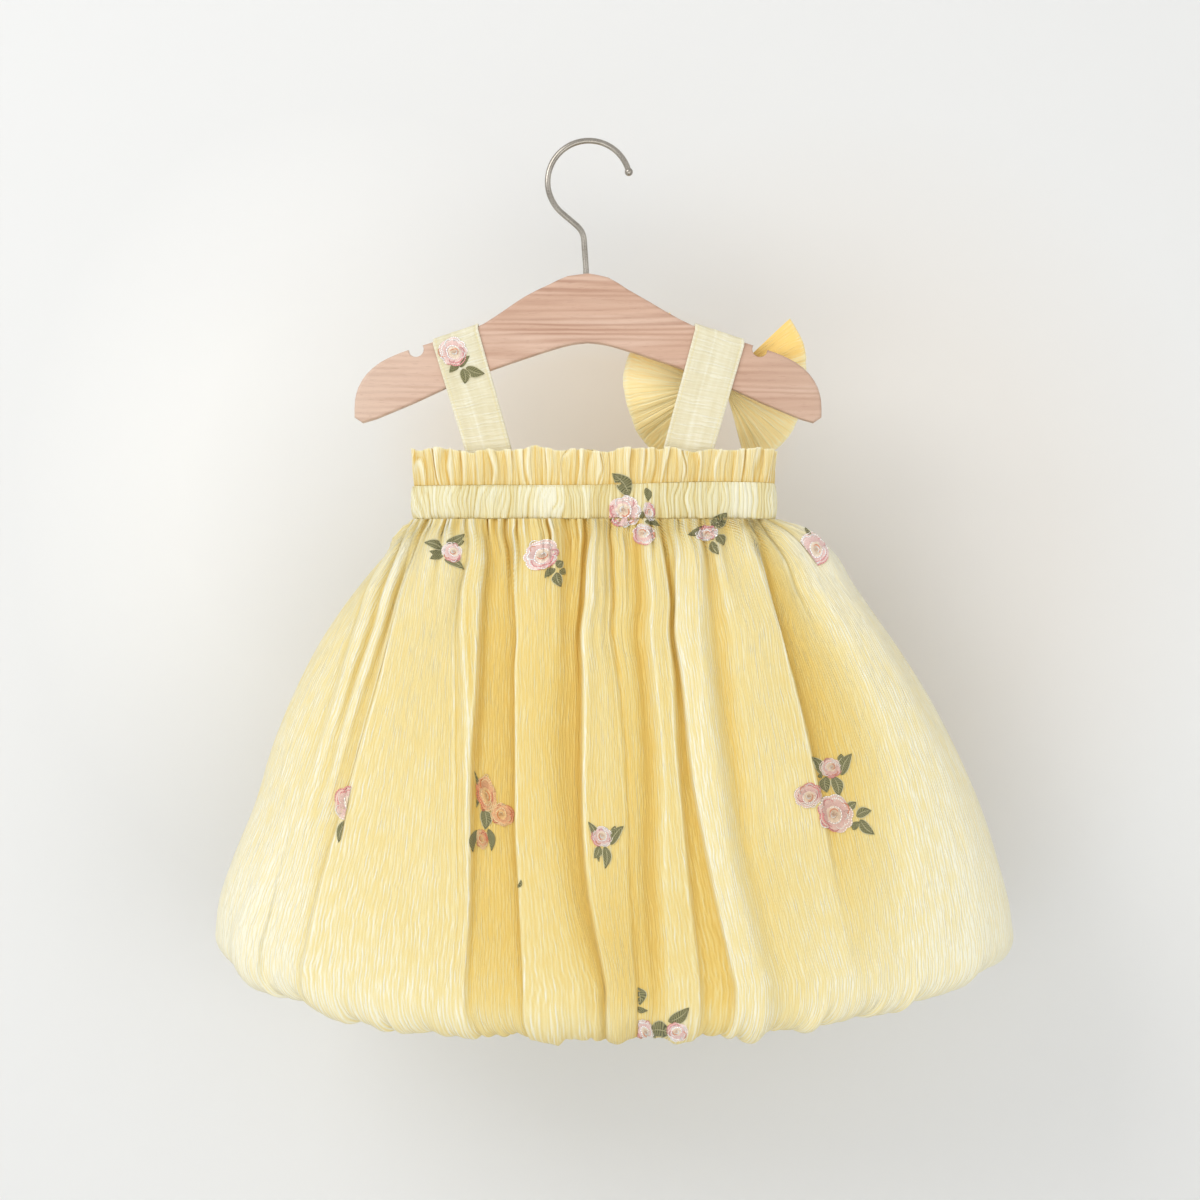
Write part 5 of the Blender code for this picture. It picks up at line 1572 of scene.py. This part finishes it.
cuts = (
    ("skirt_back_left", 0, seam), ("skirt_back_right", seam, side_seam),
    ("skirt_front", side_seam, around_skirt),
)
pieces = sewn_pieces(*skirt_cloth(), cuts, SEAM_GAP / 6, CLOTH_ROUND, crepes["skirt_crepe"])
pieces["hem_casing"] = hem_casing_cloth(crepes["skirt_crepe"])
for key, data, cloth_round in (
    ("casing", casing_cloth(), CLOTH_ROUND * CASING_UV_SHARE), ("frill", frill_cloth(), CLOTH_ROUND),
):
    cuts = ((key + "_back", 0, around_bodice // 2), (key + "_front", around_bodice // 2, around_bodice))
    pieces.update(sewn_pieces(*data, cuts, SEAM_GAP / 2, cloth_round, crepes[key + "_crepe"]))
outer_cloth = [piece for key, piece in pieces.items() if key != "hem_casing"]

strap_lines = []
for number, (key, strap) in enumerate(STRAPS.items()):
    pieces[key], lines = strap_cloth(key, strap, 91 + 7 * number, crepes["strap_crepe"])
    strap_lines += lines
for number, (key, (side, edge)) in enumerate(BOW_LOOPS.items()):
    pieces[key] = bow_loop(key, side, edge, 121 + 9 * number, crepes["bow_crepe"])
pieces["bow_knot"] = bow_knot(crepes["bow_crepe"])
hook = hook_wire(steel())
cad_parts["hanger_body"].data.materials[0] = wood()

SEAM_STITCHES_IN = 0.9 * MM
SEAM_STITCHES_OUT = 1.9 * MM
seam_lines = []
for z in (CASING_TOP_Z - SEAM_STITCHES_IN, WAIST_Z + SEAM_STITCHES_IN):
    ring, _ = bodice_ring(np.arange(901) % 900 / 900, SEAM_STITCHES_OUT)
    ring[:, 2] = z
    seam_lines.append(ring)
sewing = crepes["sewing_thread"]
casing_stitches = stitches("casing_stitches", seam_lines, 2.6 * MM, 0.17 * MM, 0.4, 141, sewing)
strap_stitches = stitches("strap_stitches", strap_lines, 2.4 * MM, 0.16 * MM, 0.7, 142, sewing)

EYE = (7.7 * MM, -2.2, -293.8 * MM)
FRONT_EYE = (EYE[0], -EYE[1], EYE[2])
all_cloth, strap_only = tree_of(outer_cloth), tree_of([pieces["strap_left"]])
rayon = thread("embroidery_thread")
back_parts, front_parts = [], []
for number, key in enumerate("abcdefghij"):
    back_parts += sprig(key, 200 + 10 * number)
for number, (key, across, up, mirrored) in enumerate(FRONT_SPRIGS):
    front_parts += sprig(key, 400 + 10 * number, (across, up), mirrored)
embroidery_back = laid_on("embroidery_back", back_parts, all_cloth, EYE, rayon)
embroidery_front = laid_on("embroidery_front", front_parts, all_cloth, FRONT_EYE, rayon)
embroidery_strap = laid_on("embroidery_strap", sprig("strap", 300), strap_only, EYE, rayon)

for node, (slot, flat, held, rests_on) in SHEETS.items():
    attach(pieces[node], "root")
    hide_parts(node)
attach(hook, "root")
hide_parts("hanger_hook")
for piece, slot in (
    (casing_stitches, "casing_cloth"), (strap_stitches, "strap_cloth"), (embroidery_back, "skirt_cloth"),
    (embroidery_front, "skirt_cloth"), (embroidery_strap, "strap_cloth"),
):
    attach(piece, "root")

# --- Stage ---
WALL_Y = 170 * MM
FLOOR_Z = -0.95
ROOM_TOP_Z = 2.4
ROOM_HALF_WIDTH = 3
FLOOR_END_Y = -4
EYE_WIDTH = 772.5 * MM  # what the camera takes in at the hanger
SENSOR_WIDTH = 36
wall_paint = seen_from_the_front("wall_paint", srgb(222, 223, 222))
backdrop_paint = seen_from_the_front("backdrop_paint", srgb(227, 228, 228), (
    # painted glow and shadow on the backdrop: middle x, z; reach; the most of the shade that shows; shade
    # painted warm glow and shade behind the neck, between the straps
    ((-2, -176), (150, 95), 0.5, srgb(224, 200, 166)),
    # painted shadow to the right of the dress
    ((190, -250), (260, 300), 0.3, srgb(220, 210, 198)),
    # painted light that lifts the dress's shadow on the left of the waist
    ((-170, -230), (230, 280), 0.42, srgb(250, 250, 248)),
))


def plane(name, ends, material):
    """A wide rectangle from the first (y, z) to the second."""
    (near_y, low_z), (far_y, high_z) = ends
    left, right = -ROOM_HALF_WIDTH, ROOM_HALF_WIDTH
    corners = [(left, near_y, low_z), (right, near_y, low_z), (right, far_y, high_z), (left, far_y, high_z)]
    return mesh_object(name, corners, [(0, 1, 2, 3)], material, smooth=False)


def area_light(name, place, aim, size, power, colour):
    data = bpy.data.lights.new(name, "AREA")
    data.shape = "RECTANGLE"
    data.size, data.size_y = size
    data.energy = power
    data.color = colour
    light = bpy.data.objects.new(name, data)
    light.location = place
    light.rotation_euler = (Vector(aim) - Vector(place)).to_track_quat("-Z", "Y").to_euler()
    bpy.context.scene.collection.objects.link(light)


wall = plane("wall", ((WALL_Y, FLOOR_Z), (WALL_Y, ROOM_TOP_Z)), backdrop_paint)
floor = plane("floor", ((FLOOR_END_Y, FLOOR_Z), (WALL_Y, FLOOR_Z)), wall_paint)
area_light("key", (-1.5, -1.7, 1.0), (0, 0, -0.22), (1.5, 1.5), 25.5, (1.0, 0.99, 0.98))
area_light("fill", (1.9, -2.2, 0.1), (0, 0, -0.35), (1.6, 1.8), 6, (1.0, 0.98, 0.95))
area_light("bounce", (0.2, -1.3, -0.9), (0, 0, -0.3), (2.0, 1.0), 10.5, (1.0, 0.985, 0.96))
scene = bpy.context.scene
world = bpy.data.worlds.new("room")
world.use_nodes = True
background = world.node_tree.nodes["Background"]
background.inputs["Color"].default_value = (1.0, 0.995, 0.99, 1)
background.inputs["Strength"].default_value = 0.71
scene.world = world
scene.view_settings.view_transform = "Standard"

camera_data = bpy.data.cameras.new("camera")
camera_data.sensor_width = SENSOR_WIDTH
camera_data.lens = SENSOR_WIDTH * -EYE[1] / EYE_WIDTH
camera = bpy.data.objects.new("camera", camera_data)
camera.location = EYE
camera.rotation_euler = (math.pi / 2, 0, 0)
scene.collection.objects.link(camera)
scene.camera = camera
